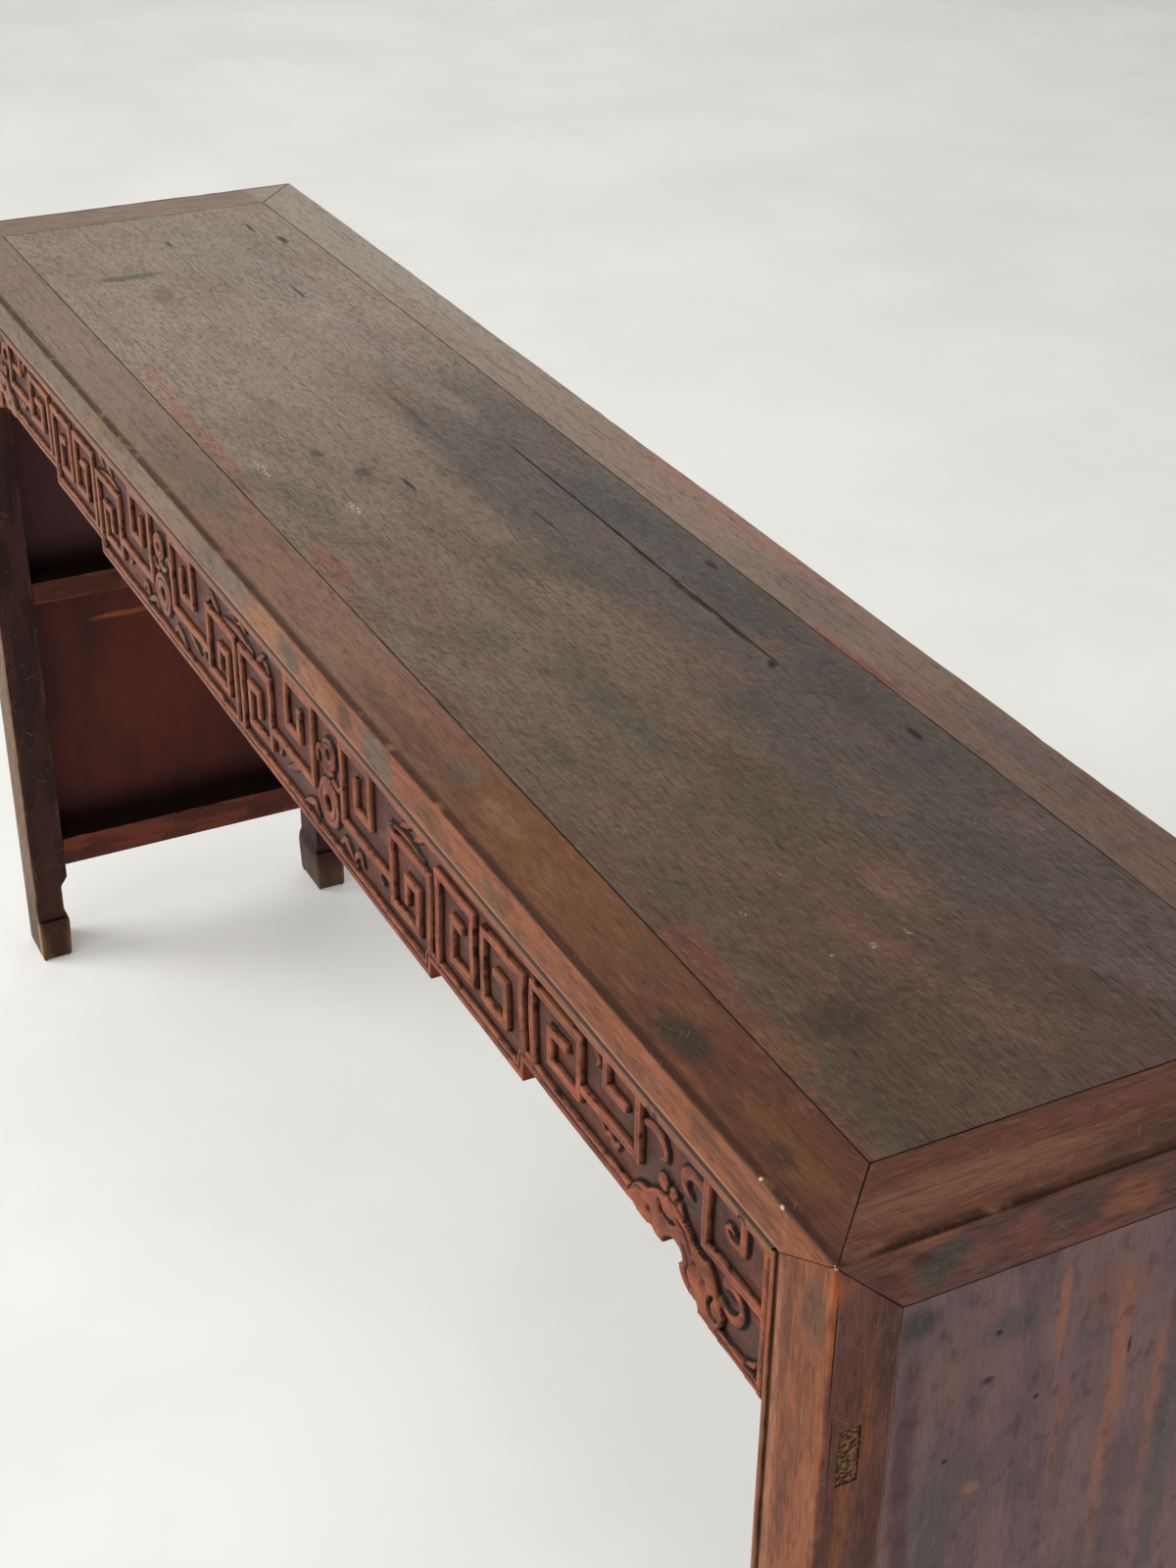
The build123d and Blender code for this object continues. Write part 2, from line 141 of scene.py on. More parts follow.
# %% Lamps
LAMPS = [  # where it hangs, where it points, its size in metres and its power in watts
    ((-2.6, -4.2, 3.2), (0.0, -0.1, 0.6), 3.4, 190),
    ((-5.5, 2.6, 2.4), (0.0, 0.0, 0.8), 3.0, 18),
    ((0.6, -1.4, 4.2), (0.2, 0.0, 0.8), 4.0, 60),
]
for number, (place, target, size, watts) in enumerate(LAMPS):
    lamp = bpy.data.objects.new(f"lamp_{number}", bpy.data.lights.new(f"lamp_{number}", "AREA"))
    scene.collection.objects.link(lamp)
    lamp.data.shape = "DISK"
    lamp.data.size = size
    lamp.data.energy = watts
    lamp.location = place
    lamp.rotation_euler = (Vector(target) - Vector(place)).to_track_quat("-Z", "Y").to_euler()
print("lamps:", len(LAMPS))

# %% Sky
SKY_LOW, SKY_HIGH = 0.7, 0.3  # how strong the room's light is at eye level and overhead
sky = bpy.data.worlds.new("pale_room")
sky.use_nodes = True
nodes, links = sky.node_tree.nodes, sky.node_tree.links
where = nodes.new("ShaderNodeTexCoord")
split = nodes.new("ShaderNodeSeparateXYZ")
fade = nodes.new("ShaderNodeMapRange")
fade.inputs["To Min"].default_value = SKY_LOW
fade.inputs["To Max"].default_value = SKY_HIGH
links.new(where.outputs["Generated"], split.inputs[0])
links.new(split.outputs["Z"], fade.inputs["Value"])
links.new(fade.outputs[0], nodes["Background"].inputs["Strength"])
nodes["Background"].inputs["Color"].default_value = (0.94, 0.95, 0.94, 1)
scene.world = sky
print("sky:", sky.name)

# %% [markdown]
# ## Materials as arithmetic
#
# A material in Blender is a graph of nodes. Drawn by hand such graphs grow fast, so we write them as
# sums instead. A `Wire` stands for one socket, and adding or multiplying two wires adds the Math node
# that does it. Every other node comes from one method, `Finish.add`.

# %% Paints
def paint(red, green, blue):
    """A colour as a paint chart gives it, 0 to 255, turned into the linear light that shaders use."""
    parts = [c / 255 for c in (red, green, blue)]
    return tuple(((c + 0.055) / 1.055) ** 2.4 if c > 0.04 else c / 12.92 for c in parts) + (1,)


SOOT_AND_SHADE = paint(22, 15, 13)  # near black: knots, dirt in joints and cracks, and painted shade in deep corners and recesses
SHINE = 0.09  # old lacquer mirrors less than a new film, for which Blender's value is 0.5
print("soot in linear light:", [round(c, 4) for c in SOOT_AND_SHADE[:3]])

# %% [markdown]
# Few operators are needed. The one that does most of the work is `step`: a soft step through a cloudy noise
# leaves patches with a border, and nearly every mark on this table begins as such a patch.

# %% Wires
class Wire:
    """One output of a material's nodes, which Python's operators can combine with numbers."""

    def __init__(self, finish, socket):
        self.finish = finish
        self.socket = socket

    def math(self, operation, first, second=0.0):
        return self.finish.add("ShaderNodeMath", {"operation": operation}, {0: first, 1: second})

    def __add__(self, other):
        return self.math("ADD", self, other)

    def __sub__(self, other):
        return self.math("SUBTRACT", self, other)

    def __rsub__(self, other):
        return self.math("SUBTRACT", other, self)

    def __mul__(self, other):
        return self.math("MULTIPLY", self, other)

    def __abs__(self):
        return self.math("ABSOLUTE", self)

    __radd__ = __add__
    __rmul__ = __mul__

    def step(self, low, high):
        """0 below low, 1 above high and a soft step between them, or the other way round."""
        settings = {"interpolation_type": "SMOOTHSTEP"}
        return self.finish.add("ShaderNodeMapRange", settings, {0: self, 1: low, 2: high})


print("operators of a wire: + - * abs step")

# %% [markdown]
# A finish begins a material and knows where on the table each point lies, in millimetres, so that a mark
# can be placed with a ruler. Its last method closes the material. Only colour, roughness and height
# change over a surface, which keeps every material fit to be baked into plain pictures.

# %% Finishes
class Finish:
    """A material in the making: its node tree, and the place on the table in millimetres."""

    def __init__(self, name):
        self.material = bpy.data.materials.new(name)
        self.material.use_nodes = True
        self.tree = self.material.node_tree
        self.tree.nodes.clear()
        here = self.add("ShaderNodeTexCoord", {}, {}, "Object")
        self.place = self.vector("SCALE", here, Scale=1 / MM)
        self.x, self.y, self.z = self.split(self.place)
        torn = self.noise(60, 5, 40, roughness=0.62, output="Color")
        self.ragged = self.vector("SUBTRACT", torn, (0.5, 0.5, 0.5))

    def add(self, kind, settings, sockets, output=0):
        """Add any node: its settings first, then a value or a wire for each socket."""
        node = self.tree.nodes.new(kind)
        for key, value in settings.items():
            setattr(node, key, value)
        for key, value in sockets.items():
            if isinstance(value, Wire):
                self.tree.links.new(value.socket, node.inputs[key])
            else:
                node.inputs[key].default_value = value
        return Wire(self, node.outputs[output]) if node.outputs else None

    def vector(self, operation, first, second=(0, 0, 0), output=0, **sockets):
        sockets = {0: first, 1: second} | sockets
        return self.add("ShaderNodeVectorMath", {"operation": operation}, sockets, output)

    def split(self, wire):
        """The three parts of a vector."""
        return [self.add("ShaderNodeSeparateXYZ", {}, {0: wire}, letter) for letter in "XYZ"]

    def mark(self, name):
        """A number that the mesh carries at each of its points."""
        return self.add("ShaderNodeAttribute", {"attribute_name": name}, {}, "Fac")

    def noise(self, size, detail=2.0, seed=0.0, turn=(0, 0, 0), roughness=0.55, output=0):
        """Cloudy noise. size is how large its blots are along x, y and z, in millimetres."""
        sizes = size if isinstance(size, tuple) else (size,) * 3
        grain = {"Vector": self.place, "Location": (seed * 91,) * 3, "Rotation": turn, "Scale": sizes}
        moved = self.add("ShaderNodeMapping", {"vector_type": "TEXTURE"}, grain)
        values = {"Vector": moved, "Scale": 1.0, "Detail": detail, "Roughness": roughness}
        return self.add("ShaderNodeTexNoise", {}, values, output)

    def mix(self, first, second, share):
        """Blend two colours."""
        return self.add("ShaderNodeMix", {"data_type": "RGBA"}, {0: share, 6: first, 7: second}, 2)

    def close(self, colour, roughness, height, depth_mm, coat=0.0, glow=0.0):
        """Join colour, roughness and a height map into the final shader. A glow adds light."""
        relief = {"Height": height, "Strength": 1.0, "Distance": depth_mm * MM}
        bump = self.add("ShaderNodeBump", {}, relief)
        values = {"Base Color": colour, "Roughness": roughness, "Normal": bump, "Coat Weight": coat}
        shine = {"Specular IOR Level": SHINE, "Coat Roughness": 0.3}
        light = {"Emission Color": colour, "Emission Strength": glow} if glow else {}
        shader = self.add("ShaderNodeBsdfPrincipled", {}, values | shine | light)
        self.add("ShaderNodeOutputMaterial", {}, {"Surface": shader})
        return self.material


print("finishes ready")

# %% [markdown]
# The patterns of age are the same on every part: ragged stains, scratches, specks, wood fibre. They go
# into a finish of their own. Most stains lie flat on one face of the table, so the tables further down
# give two coordinates and two half widths for each, and `laid` adds the face's plane.

# %% Patterns of age
AXES = {"x": 0, "y": 1, "z": 2}


class AgedFinish(Finish):
    """A finish that knows the marks which a hundred years leave on lacquer."""

    def spot(self, centre, size, soft=0.6, ragged=0.9):
        """1 inside a ragged oval at a place on the table, 0 outside. size is its three half widths."""
        # the shift comes first: many spots then need no more of the renderer's short memory
        shift, settings = tuple(2 * ragged * s for s in size), {"operation": "MULTIPLY_ADD"}
        torn = self.add("ShaderNodeVectorMath", settings, {0: self.ragged, 1: shift, 2: self.place})
        offset = self.vector("SUBTRACT", torn, centre)
        oval = self.vector("MULTIPLY", offset, tuple(1 / s for s in size))
        return self.vector("LENGTH", oval, output="Value").step(1 + soft / 2, 1 - soft)

    def stains(self, colour, table):
        """Lay stains over a colour. Each has a centre, three half widths, a paint and a strength."""
        for centre, size, tint, strength in table:
            colour = self.mix(colour, paint(*tint), self.spot(centre, size) * strength)
        return colour

    def scratches(self, seed, angle, plane):
        """Short fine scratches that all run one way. plane is the axis that they lie square to."""
        turn = [0, 0, 0]
        turn[AXES[plane]] = angle
        lines = self.noise((0.9, 26.0, 0.9) if plane == "x" else (26.0, 0.9, 0.9), 1, seed, tuple(turn))
        return lines.step(0.69, 0.74) * self.noise(50, 2, seed + 9).step(0.52, 0.6)

    def specks(self, spacing, size, seed=0.0):
        """Small round dots, one in every cell of about that spacing at most."""
        grid = {"Vector": self.place, "Location": (seed * 37,) * 3, "Scale": (spacing,) * 3}
        moved = self.add("ShaderNodeMapping", {"vector_type": "TEXTURE"}, grid)
        cells = self.add("ShaderNodeTexVoronoi", {}, {"Vector": moved, "Scale": 1.0}, "Distance")
        thin_out = self.noise(spacing * 3, 1, seed + 5).step(0.52, 0.6)
        return cells.step(size / spacing, size / spacing * 0.5) * thin_out

    def facings(self):
        """How far the surface faces up, along the table's long sides, and outwards at its ends."""
        along_x, along_y, along_z = self.split(self.add("ShaderNodeNewGeometry", {}, {}, "Normal"))
        outwards = along_x * along_x.math("SIGN", self.x)
        return along_z.step(0.45, 0.85), abs(along_y).step(0.45, 0.85), outwards.step(0.45, 0.85)

    def fibres(self, along, seed):
        """Fine wood fibre along one axis: 0 is a pore, 1 is the ground between the pores."""
        fine, coarse = [0.75] * 3, [3.0] * 3
        fine[AXES[along]], coarse[AXES[along]] = 14.0, 130.0
        pores = self.noise(tuple(fine), 3, seed, roughness=0.6)
        return pores.step(0.36, 0.54), self.noise(tuple(coarse), 3, seed + 3)


def laid(axis, level, depth, rows):
    """Lay marks on a face that is square to an axis. A row has two places, two half widths and a look."""
    marks = []
    for place_1, place_2, half_1, half_2, *look in rows:
        centre, size = [place_1, place_2], [half_1, half_2]
        centre.insert(AXES[axis], level)
        size.insert(AXES[axis], depth)
        marks.append((tuple(centre), tuple(size), *look))
    return marks


print("patterns ready")

# %% [markdown]
# ## The floor
#
# A plain pale floor, with only the faintest cloudiness so that it doesn't look like paper. Studios light
# such a floor by itself to make it nearly white, and a faint glow in its paint does the same here. It
# isn't part of the table.

# %% Floor
FLOOR_SIZE = 60
FLOOR_GLOW = 0.14
finish = Finish("floor_paint")
tone = finish.mix(paint(236, 234, 229), paint(241, 240, 236), finish.noise(420, 4).step(0.35, 0.65))
floor_paint = finish.close(tone, 0.55, finish.noise(30, 3), depth_mm=0.05, glow=FLOOR_GLOW)
bpy.ops.mesh.primitive_plane_add(size=FLOOR_SIZE)
floor = bpy.context.object
floor.name = "floor"
floor.data.materials.append(floor_paint)
print("floor:", FLOOR_SIZE, "m wide")

# %% [markdown]
# ## Old lacquer on the boards of the top
#
# The two boards have a dull olive-brown film, worn thin. Seen from above there are broad cloudy
# changes of tone, a cool purplish band where the film is thickest, red patches along the frame where
# the first coat shows, fine open grain along the table, small scratches and pale specks. Each of those
# is one mask, and the colours are laid over each other like glazes.

# %% Stains on the boards
BOARD_STAINS = laid("z", HEIGHT, 60, [  # x, y, half widths, paint and strength
    (30, 112, 260, 26, (87, 85, 78), 0.7),
    (330, 112, 300, 20, (74, 69, 65), 0.6),
    (740, 20, 150, 110, (93, 71, 62), 0.8),
    (650, 100, 150, 42, (105, 88, 84), 0.85),
    (740, -88, 110, 34, (84, 62, 50), 0.6),
    (640, -60, 110, 50, (96, 72, 54), 0.6),
    (690, -86, 26, 24, (65, 54, 45), 0.7),
    (560, 62, 90, 34, (83, 76, 69), 0.5),
    (420, -12, 150, 30, (108, 81, 60), 0.5),
    (360, -36, 60, 12, (81, 81, 69), 0.5),
    (150, -84, 150, 26, (123, 92, 74), 0.5),
    (60, -24, 200, 20, (103, 85, 69), 0.5),
    (-330, -122, 60, 9, (166, 116, 99), 0.6),
    (-190, -126, 110, 8, (157, 96, 76), 0.6),
    (-560, -20, 70, 30, (139, 125, 108), 0.5),
    (-480, 70, 160, 16, (159, 139, 130), 0.6),
    (-300, 86, 180, 14, (148, 130, 123), 0.5),
    (60, -121, 60, 11, (143, 87, 67), 0.7),
    (140, -128, 40, 6, (132, 81, 63), 0.5),
    (300, -126, 70, 8, (116, 74, 58), 0.5),
    (520, -124, 90, 9, (110, 72, 56), 0.5),
    (600, -128, 48, 20, (122, 71, 55), 0.8),
    (660, -134, 56, 18, (116, 71, 54), 0.8),
    (706, -130, 38, 15, (124, 84, 55), 0.8),
    (764, -134, 40, 16, (108, 70, 54), 0.8),
    (626, -96, 20, 14, (81, 69, 54), 0.6),
    (668, -58, 26, 14, (80, 65, 60), 0.6),
    (609, -34, 34, 12, (123, 81, 65), 0.6),
    (656, -26, 30, 13, (125, 83, 67), 0.6),
    (590, 8, 26, 12, (125, 90, 69), 0.5),
    (215, -66, 34, 16, (88, 88, 74), 0.5),
    (330, -44, 22, 9, (82, 84, 74), 0.5),
    (500, -80, 70, 10, (112, 82, 68), 0.4),
    (-620, -58, 9, 34, (94, 94, 72), 0.85),
    (-560, -46, 34, 10, (116, 94, 76), 0.6),
    (-440, 96, 140, 12, (150, 121, 108), 0.6),
    (-640, 60, 130, 70, (143, 134, 119), 0.6),
    (-180, 46, 80, 4, (78, 65, 54), 0.7),
    (-86, -36, 10, 9, (74, 58, 47), 0.7),
    (-138, -56, 8, 6, (69, 56, 45), 0.7),
    (-40, -62, 46, 30, (132, 116, 99), 0.5),
])
print("stains on the boards:", len(BOARD_STAINS))

# %% [markdown]
# The smallest marks are the ones the eye checks first: a few black knots, pale dots, and the places where
# the joint between the two boards gapes widest. They could all be cut into the mesh, but they are only a
# few millimetres wide, so they are painted as narrow ovals. The mesh opens the joint a little as well.

# %% Knots, dots and the open joint of the boards
KNOTS = laid("z", HEIGHT, 9, [
    (178, 126, 9, 3), (452, 119, 9, 3), (332, 84, 4, 3),
    (-700, 6, 12, 2), (-716, 96, 16, 2), (-668, 112, 14, 4),
    (-54, -14, 16, 2.4), (-516, 70, 22, 1.6), (60, 52, 26, 1.2),
])
PALE_DOTS = laid("z", HEIGHT, 9, [
    (-24, -68, 14, 5), (-122, -104, 18, 4), (635, -9, 5, 2),
    (581, -83, 2.6, 2), (636, -58, 2, 1.6), (640, -33, 4, 2),
])
OPEN_JOINT = laid("z", HEIGHT, 9, [  # places where the joint between the boards gapes
    (150, 89, 30, 1.5), (196, 88, 13, 2.6), (226, 87.6, 20, 2.2),
    (272, 88, 26, 1.5), (329, 86.5, 5, 3.2), (96, 90, 16, 1.2),
])
BARE_JOINT = laid("z", HEIGHT, 9, [  # bare wood beside it
    (168, 91, 12, 1.6), (205, 90.6, 16, 1.9), (236, 85.6, 14, 1.5),
])
print("knots:", len(KNOTS), "places where the joint gapes:", len(OPEN_JOINT))

# %% [markdown]
# The left half of the top is painted paler, partly as a painted sheen where the top mirrors the bright
# room at a low angle, and the back and the right half are left dark. One function lays that slow change
# and the stains, and a second one lays the wear over it: cracks, knots, the open joint, scratches and
# dots. The order matters, because a scratch cuts through a stain.

# %% Tone and wear of the boards
def board_tone(finish):
    """Broad changes of tone: paler to the left, partly painted sheen, thick and cool along the back, and the
    stains.
    """
    x, y = finish.x, finish.y
    # paler towards the left in two steps: partly painted sheen
    colour = finish.mix(paint(97, 79, 64), paint(124, 105, 87), x.step(620, 60))
    colour = finish.mix(colour, paint(155, 136, 118), x.step(120, -460))
    torn = (finish.noise((160, 26, 26), 4, 7) - 0.5) * 60
    back_strip = (y + torn).step(12, 44) * x.step(-420, -60)
    colour = finish.mix(colour, paint(88, 78, 72), back_strip * 0.8)
    return finish.stains(colour, BOARD_STAINS)


def board_wear(finish, colour):
    """Short open cracks along the grain, knots, the joint between the boards, scratches and dots."""
    splits = finish.noise((24, 1.5, 1.5), 1, 21).step(0.68, 0.73) * finish.noise(70, 2, 22).step(0.5, 0.6)
    colour = finish.mix(colour, paint(36, 28, 23), splits * 0.7)
    for centre, size in KNOTS:
        colour = finish.mix(colour, SOOT_AND_SHADE, finish.spot(centre, size, 0.5, 0.8) * 0.85)
    for centre, size in BARE_JOINT:
        colour = finish.mix(colour, paint(132, 100, 72), finish.spot(centre, size, 0.6, 0.8) * 0.8)
    for centre, size in OPEN_JOINT:
        colour = finish.mix(colour, SOOT_AND_SHADE, finish.spot(centre, size, 0.4, 0.7) * 0.9)
    for number, angle in enumerate((0.25, -0.7, 1.5)):
        colour = finish.mix(colour, paint(160, 144, 122), finish.scratches(3 + number, angle, "z") * 0.26)
    for centre, size in PALE_DOTS:
        dots = finish.spot(centre, size, 0.9, 1.6) * finish.noise(2.4, 2, 9).step(0.5, 0.58)
        colour = finish.mix(colour, paint(196, 184, 162), dots * 0.8)
    colour = finish.mix(colour, paint(188, 172, 150), finish.specks(30, 0.9, 2) * 0.6)
    return finish.mix(colour, SOOT_AND_SHADE, finish.mark("seam"))


print("functions for the boards ready")

# %% [markdown]
# The finish lays all of this in order, with cloud and mottle below the wear and the wood's fibre between
# them. Roughness and height come from the same patterns as the colour, so a pore is dark, dull and sunk.

# %% Finish of the boards
def board_finish():
    finish = AgedFinish("board_lacquer")
    cloud = finish.noise((120, 60, 60), 5, 1, (0, 0, 0.3))
    mottle = finish.noise((7, 3.6, 3.6), 5, 2, (0, 0, 0.7), 0.66)
    pores, bands = finish.fibres("x", 4)
    colour = board_tone(finish)
    blots = cloud.step(0.5, 0.62) * (finish.x.step(-360, 60) * 0.26 + 0.14)  # darker on the right
    colour = finish.mix(colour, paint(74, 66, 54), blots)
    colour = finish.mix(colour, paint(134, 96, 78), cloud.step(0.46, 0.34) * 0.3)
    colour = finish.mix(colour, paint(54, 43, 35), mottle.step(0.5, 0.66) * 0.36)
    colour = finish.mix(colour, paint(152, 134, 114), mottle.step(0.46, 0.3) * 0.16)
    colour = finish.mix(paint(48, 37, 30), colour, pores * 0.56 + 0.44)
    colour = finish.mix(colour, paint(60, 47, 38), bands.step(0.54, 0.68) * 0.3)
    colour = board_wear(finish, colour)
    roughness = 0.36 + mottle * 0.14 + (1 - pores) * 0.12
    height = pores * 0.5 + bands * 0.4 + mottle * 0.8
    return finish.close(colour, roughness, height, depth_mm=0.22, coat=0.04)


board_lacquer = board_finish()
print("board finish:", len(board_lacquer.node_tree.nodes), "nodes")

# %% [markdown]
# ## Red-brown lacquer on the frame and legs
#
# Frame and legs share one recipe, but the wood's fibre runs along each piece, so the recipe takes the
# axis. Arrises carry a mark called `edge` in their meshes: there the lacquer is rubbed through to a
# paler orange wood. Joints carry a mark called `seam`, where dirt has settled.
#
# The stains of the frame are listed face by face: the top, the front and the right-hand end. Each row is
# one patch where the lacquer was rubbed, darkened or dulled, as large as its two half widths say. One pale
# line on the front leg is a painted highlight.

# %% Stains on the frame of the top
FRONT = -HALF_D
TOP_STAINS = laid("z", HEIGHT, 20, [  # x, y, half widths, paint and strength
    (668, -165, 30, 12, (54, 50, 40), 0.85),
    (765, -162, 40, 14, (120, 80, 48), 0.6),
    (600, -160, 50, 14, (108, 67, 54), 0.5),
    (770, -170, 12, 9, (70, 49, 37), 0.8),
    (432, -161, 26, 12, (138, 100, 72), 0.7),
    (371, -157, 24, 14, (106, 90, 72), 0.7),
    (505, -166, 18, 8, (128, 90, 60), 0.5),
    (594, -150, 26, 6, (82, 62, 50), 0.6),
    (698, -182, 24, 6, (124, 72, 42), 0.6),
    (560, -150, 120, 12, (112, 76, 48), 0.5),
    (740, -150, 60, 14, (98, 62, 42), 0.6),
    (330, -170, 120, 12, (86, 60, 44), 0.5),
    (-130, -160, 120, 18, (108, 94, 82), 0.6),
    (250, 160, 90, 26, (112, 97, 92), 0.6),
    (420, 150, 90, 14, (128, 92, 80), 0.5),
    (120, 178, 180, 9, (158, 112, 100), 0.6),
    (340, 139, 80, 5, (140, 78, 60), 0.75),
    (500, 168, 70, 14, (94, 86, 86), 0.5),
    (-300, 150, 260, 14, (146, 122, 108), 0.6),
    (824, -90, 14, 80, (122, 82, 62), 0.8),
    (806, 60, 10, 120, (106, 68, 58), 0.6),
    (836, 30, 10, 90, (74, 52, 42), 0.6),
])
print("stains on the frame:", len(TOP_STAINS))

# %% Stains on the front
FRONT_STAINS = laid("y", FRONT, 20, [  # x, z, half widths, paint and strength
    (-480, 844, 190, 26, (112, 98, 82), 0.85),
    (-266, 846, 20, 7, (118, 78, 40), 0.9),
    (-280, 844, 60, 20, (124, 98, 72), 0.7),
    (-120, 844, 90, 20, (126, 104, 84), 0.8),
    (20, 850, 60, 12, (98, 92, 78), 0.7),
    (92, 846, 34, 16, (150, 100, 64), 0.9),
    (152, 842, 26, 12, (84, 76, 60), 0.8),
    (202, 840, 30, 12, (142, 98, 60), 0.8),
    (252, 846, 14, 12, (66, 50, 38), 0.7),
    (305, 846, 32, 14, (92, 84, 70), 0.9),
    (385, 846, 40, 10, (84, 56, 36), 0.6),
    (480, 846, 22, 10, (98, 78, 52), 0.7),
    (590, 844, 60, 14, (116, 66, 40), 0.6),
    (728, 848, 16, 12, (78, 52, 38), 0.6),
    (836, 820, 12, 26, (86, 66, 50), 0.7),
    (818, 690, 7, 60, (98, 58, 42), 0.6),
    (812, 780, 6, 40, (92, 56, 44), 0.6),
    (838, 700, 8, 90, (146, 84, 50), 0.5),
    # a pale line on the leg's front beside its groove: painted highlight
    (806, 700, 3, 160, (160, 108, 84), 0.7),
    (-820, 400, 40, 400, (118, 88, 64), 0.55),
    (-820, 30, 40, 60, (74, 56, 42), 0.7),
])
print("stains on the front:", len(FRONT_STAINS))

# %% Stains on the right-hand end
END_STAINS = laid("x", HALF_L, 20, [  # y, z, half widths, paint and strength
    (-174, 690, 5, 60, (150, 90, 50), 0.7),
    (-163, 760, 5, 50, (138, 78, 48), 0.6),
    (-172, 600, 10, 50, (146, 84, 50), 0.6),
    (-155, 790, 6, 40, (86, 50, 46), 0.6),
    (-156, 620, 6, 90, (76, 50, 46), 0.6),
    (-134, 838, 12, 12, (74, 74, 68), 0.9),
    (-124, 846, 12, 10, (70, 72, 68), 0.8),
    (-158, 836, 12, 10, (92, 50, 40), 0.7),
    (-142, 846, 8, 5, (72, 48, 34), 0.8),
    (-100, 838, 14, 16, (104, 70, 70), 0.6),
    (-78, 842, 8, 16, (138, 78, 66), 0.6),
    (-52, 836, 18, 10, (80, 66, 64), 0.7),
    (-18, 840, 20, 12, (150, 92, 64), 0.8),
    (40, 838, 30, 16, (96, 66, 58), 0.6),
    (110, 838, 40, 16, (124, 76, 60), 0.6),
    (-138, 855, 24, 3, (150, 92, 66), 0.6),
])
print("stains on the end:", len(END_STAINS))

# %% [markdown]
# The front right corner is the one that is knocked in passing. Its arris is worn down to bright wood, has
# lost a few chips, and shows two fine cracks. These marks bend round the corner, so they are given in all
# three directions and not on one face.

# %% Wear of the front right corner
CORNER_WEAR = [  # bright bare wood: centre, half widths, strength
    ((HALF_L, FRONT, 844), (3.5, 8, 16), 0.8), ((HALF_L, FRONT, 808), (1.4, 3, 30), 0.7),
    ((HALF_L, FRONT, 740), (1.4, 1.6, 60), 0.6), ((HALF_L, FRONT, 620), (2.2, 2.4, 70), 0.5),
]
CHIPS = [  # pale chips knocked out of the arris above the front
    ((801, FRONT + 1, 858), (1.8, 2, 1)), ((780, FRONT + 1, 859), (1.3, 2, 1)),
    ((849, FRONT + 1, 859), (2, 1.2, 1)),
]
CORNER_CRACKS = [((HALF_L, FRONT + 2.6, 806), (2, 0.5, 40)), ((HALF_L, FRONT + 5, 740), (2, 0.4, 30))]
print("marks at the corner:", len(CORNER_WEAR) + len(CHIPS) + len(CORNER_CRACKS))

# %% [markdown]
# The legs' and rails' colour depends on where a surface is and which way it faces. `up`, `side` and
# `end` say how far it faces up, along the table's long sides or outwards at its ends, and each of the
# functions below paints what one of them shows.

# %% Colours of the frame by face
TOP_PART_Z = (700, 760)  # faces that look up are ledges below this, painted black for dust and shade, and the top above it


def inner_colour(finish, cloud, up):
    """Inner faces are dark maroon, partly as painted shade, and the lower rails redder. Ledges are black
    with dust and painted shade.
    """
    y, z = finish.y, finish.z
    # dark maroon on the inner faces: partly painted shade
    colour = finish.mix(paint(66, 36, 30), paint(42, 25, 23), cloud.step(0.4, 0.6))
    # the inner faces of the two lower rails
    rail_front = z.step(157, 154) * z.step(118, 121) + z.step(480, 477) * z.step(451, 454)
    rail_front = rail_front * abs(y).step(LEG_Y + 1, LEG_Y - 1)
    redder = finish.mix(paint(116, 56, 40), paint(80, 40, 32), cloud.step(0.4, 0.6))
    colour = finish.mix(colour, redder, rail_front)
    colour = finish.mix(colour, paint(112, 88, 58), z.step(56, 12) * cloud.step(0.36, 0.56) * 0.6)
    # ledges: black for dust and painted shade
    return finish.mix(colour, SOOT_AND_SHADE, up * z.step(*TOP_PART_Z[::-1]) * 0.97)


def top_colour(finish):
    """The top goes from grey brown at the far end to orange brown at the near end; the paler far end is
    partly painted sheen.
    """
    x = finish.x
    colour = finish.mix(paint(96, 59, 42), paint(117, 75, 48), x.step(700, 500))
    colour = finish.mix(colour, paint(132, 99, 79), x.step(460, 150))
    # paler grey towards the far end, here and on the back rail: partly painted sheen
    colour = finish.mix(colour, paint(141, 120, 103), x.step(40, -520))
    back = finish.mix(paint(113, 90, 80), paint(144, 121, 104), x.step(620, 180))
    back = finish.mix(back, paint(158, 144, 129), x.step(40, -480))
    colour = finish.mix(colour, back, finish.y.step(HALF_D - 58, HALF_D - 48))
    return finish.stains(colour, TOP_STAINS)


def front_colour(finish, cloud):
    """The front, orange brown on the right and greyer on the left, which is partly painted sheen."""
    # greyer to the left: partly painted sheen
    colour = finish.mix(paint(140, 79, 46), paint(118, 98, 80), finish.x.step(330, -120))
    colour = finish.mix(colour, paint(96, 60, 42), cloud.step(0.5, 0.66) * 0.5)
    return finish.stains(colour, FRONT_STAINS)


def end_colour(finish, cloud):
    """The outer faces of the ends, purple brown with browner legs."""
    colour = finish.mix(paint(124, 76, 66), paint(100, 66, 62), cloud.step(0.42, 0.6))
    on_leg = abs(finish.y).step(LEG_Y - 2, LEG_Y) * finish.z.step(812, 800)
    colour = finish.mix(colour, paint(98, 58, 48), on_leg * 0.6)
    return finish.stains(colour, END_STAINS)


print("face colours ready")

# %% [markdown]
# An arris that many hands have touched is bright, and on and right beside its rounding a dark line is
# painted as shade. The renderer can find such places in two ways: from a mark in the mesh, or from the
# way the surface faces. Marks are used for wear, which the mesh knows, and facing for the thin line of
# painted shade.

# %% Arrises, joints and knocks of the frame
NOSE_Z = LONG_RAIL_Z + 3.4  # lower end of the front rail's flat face


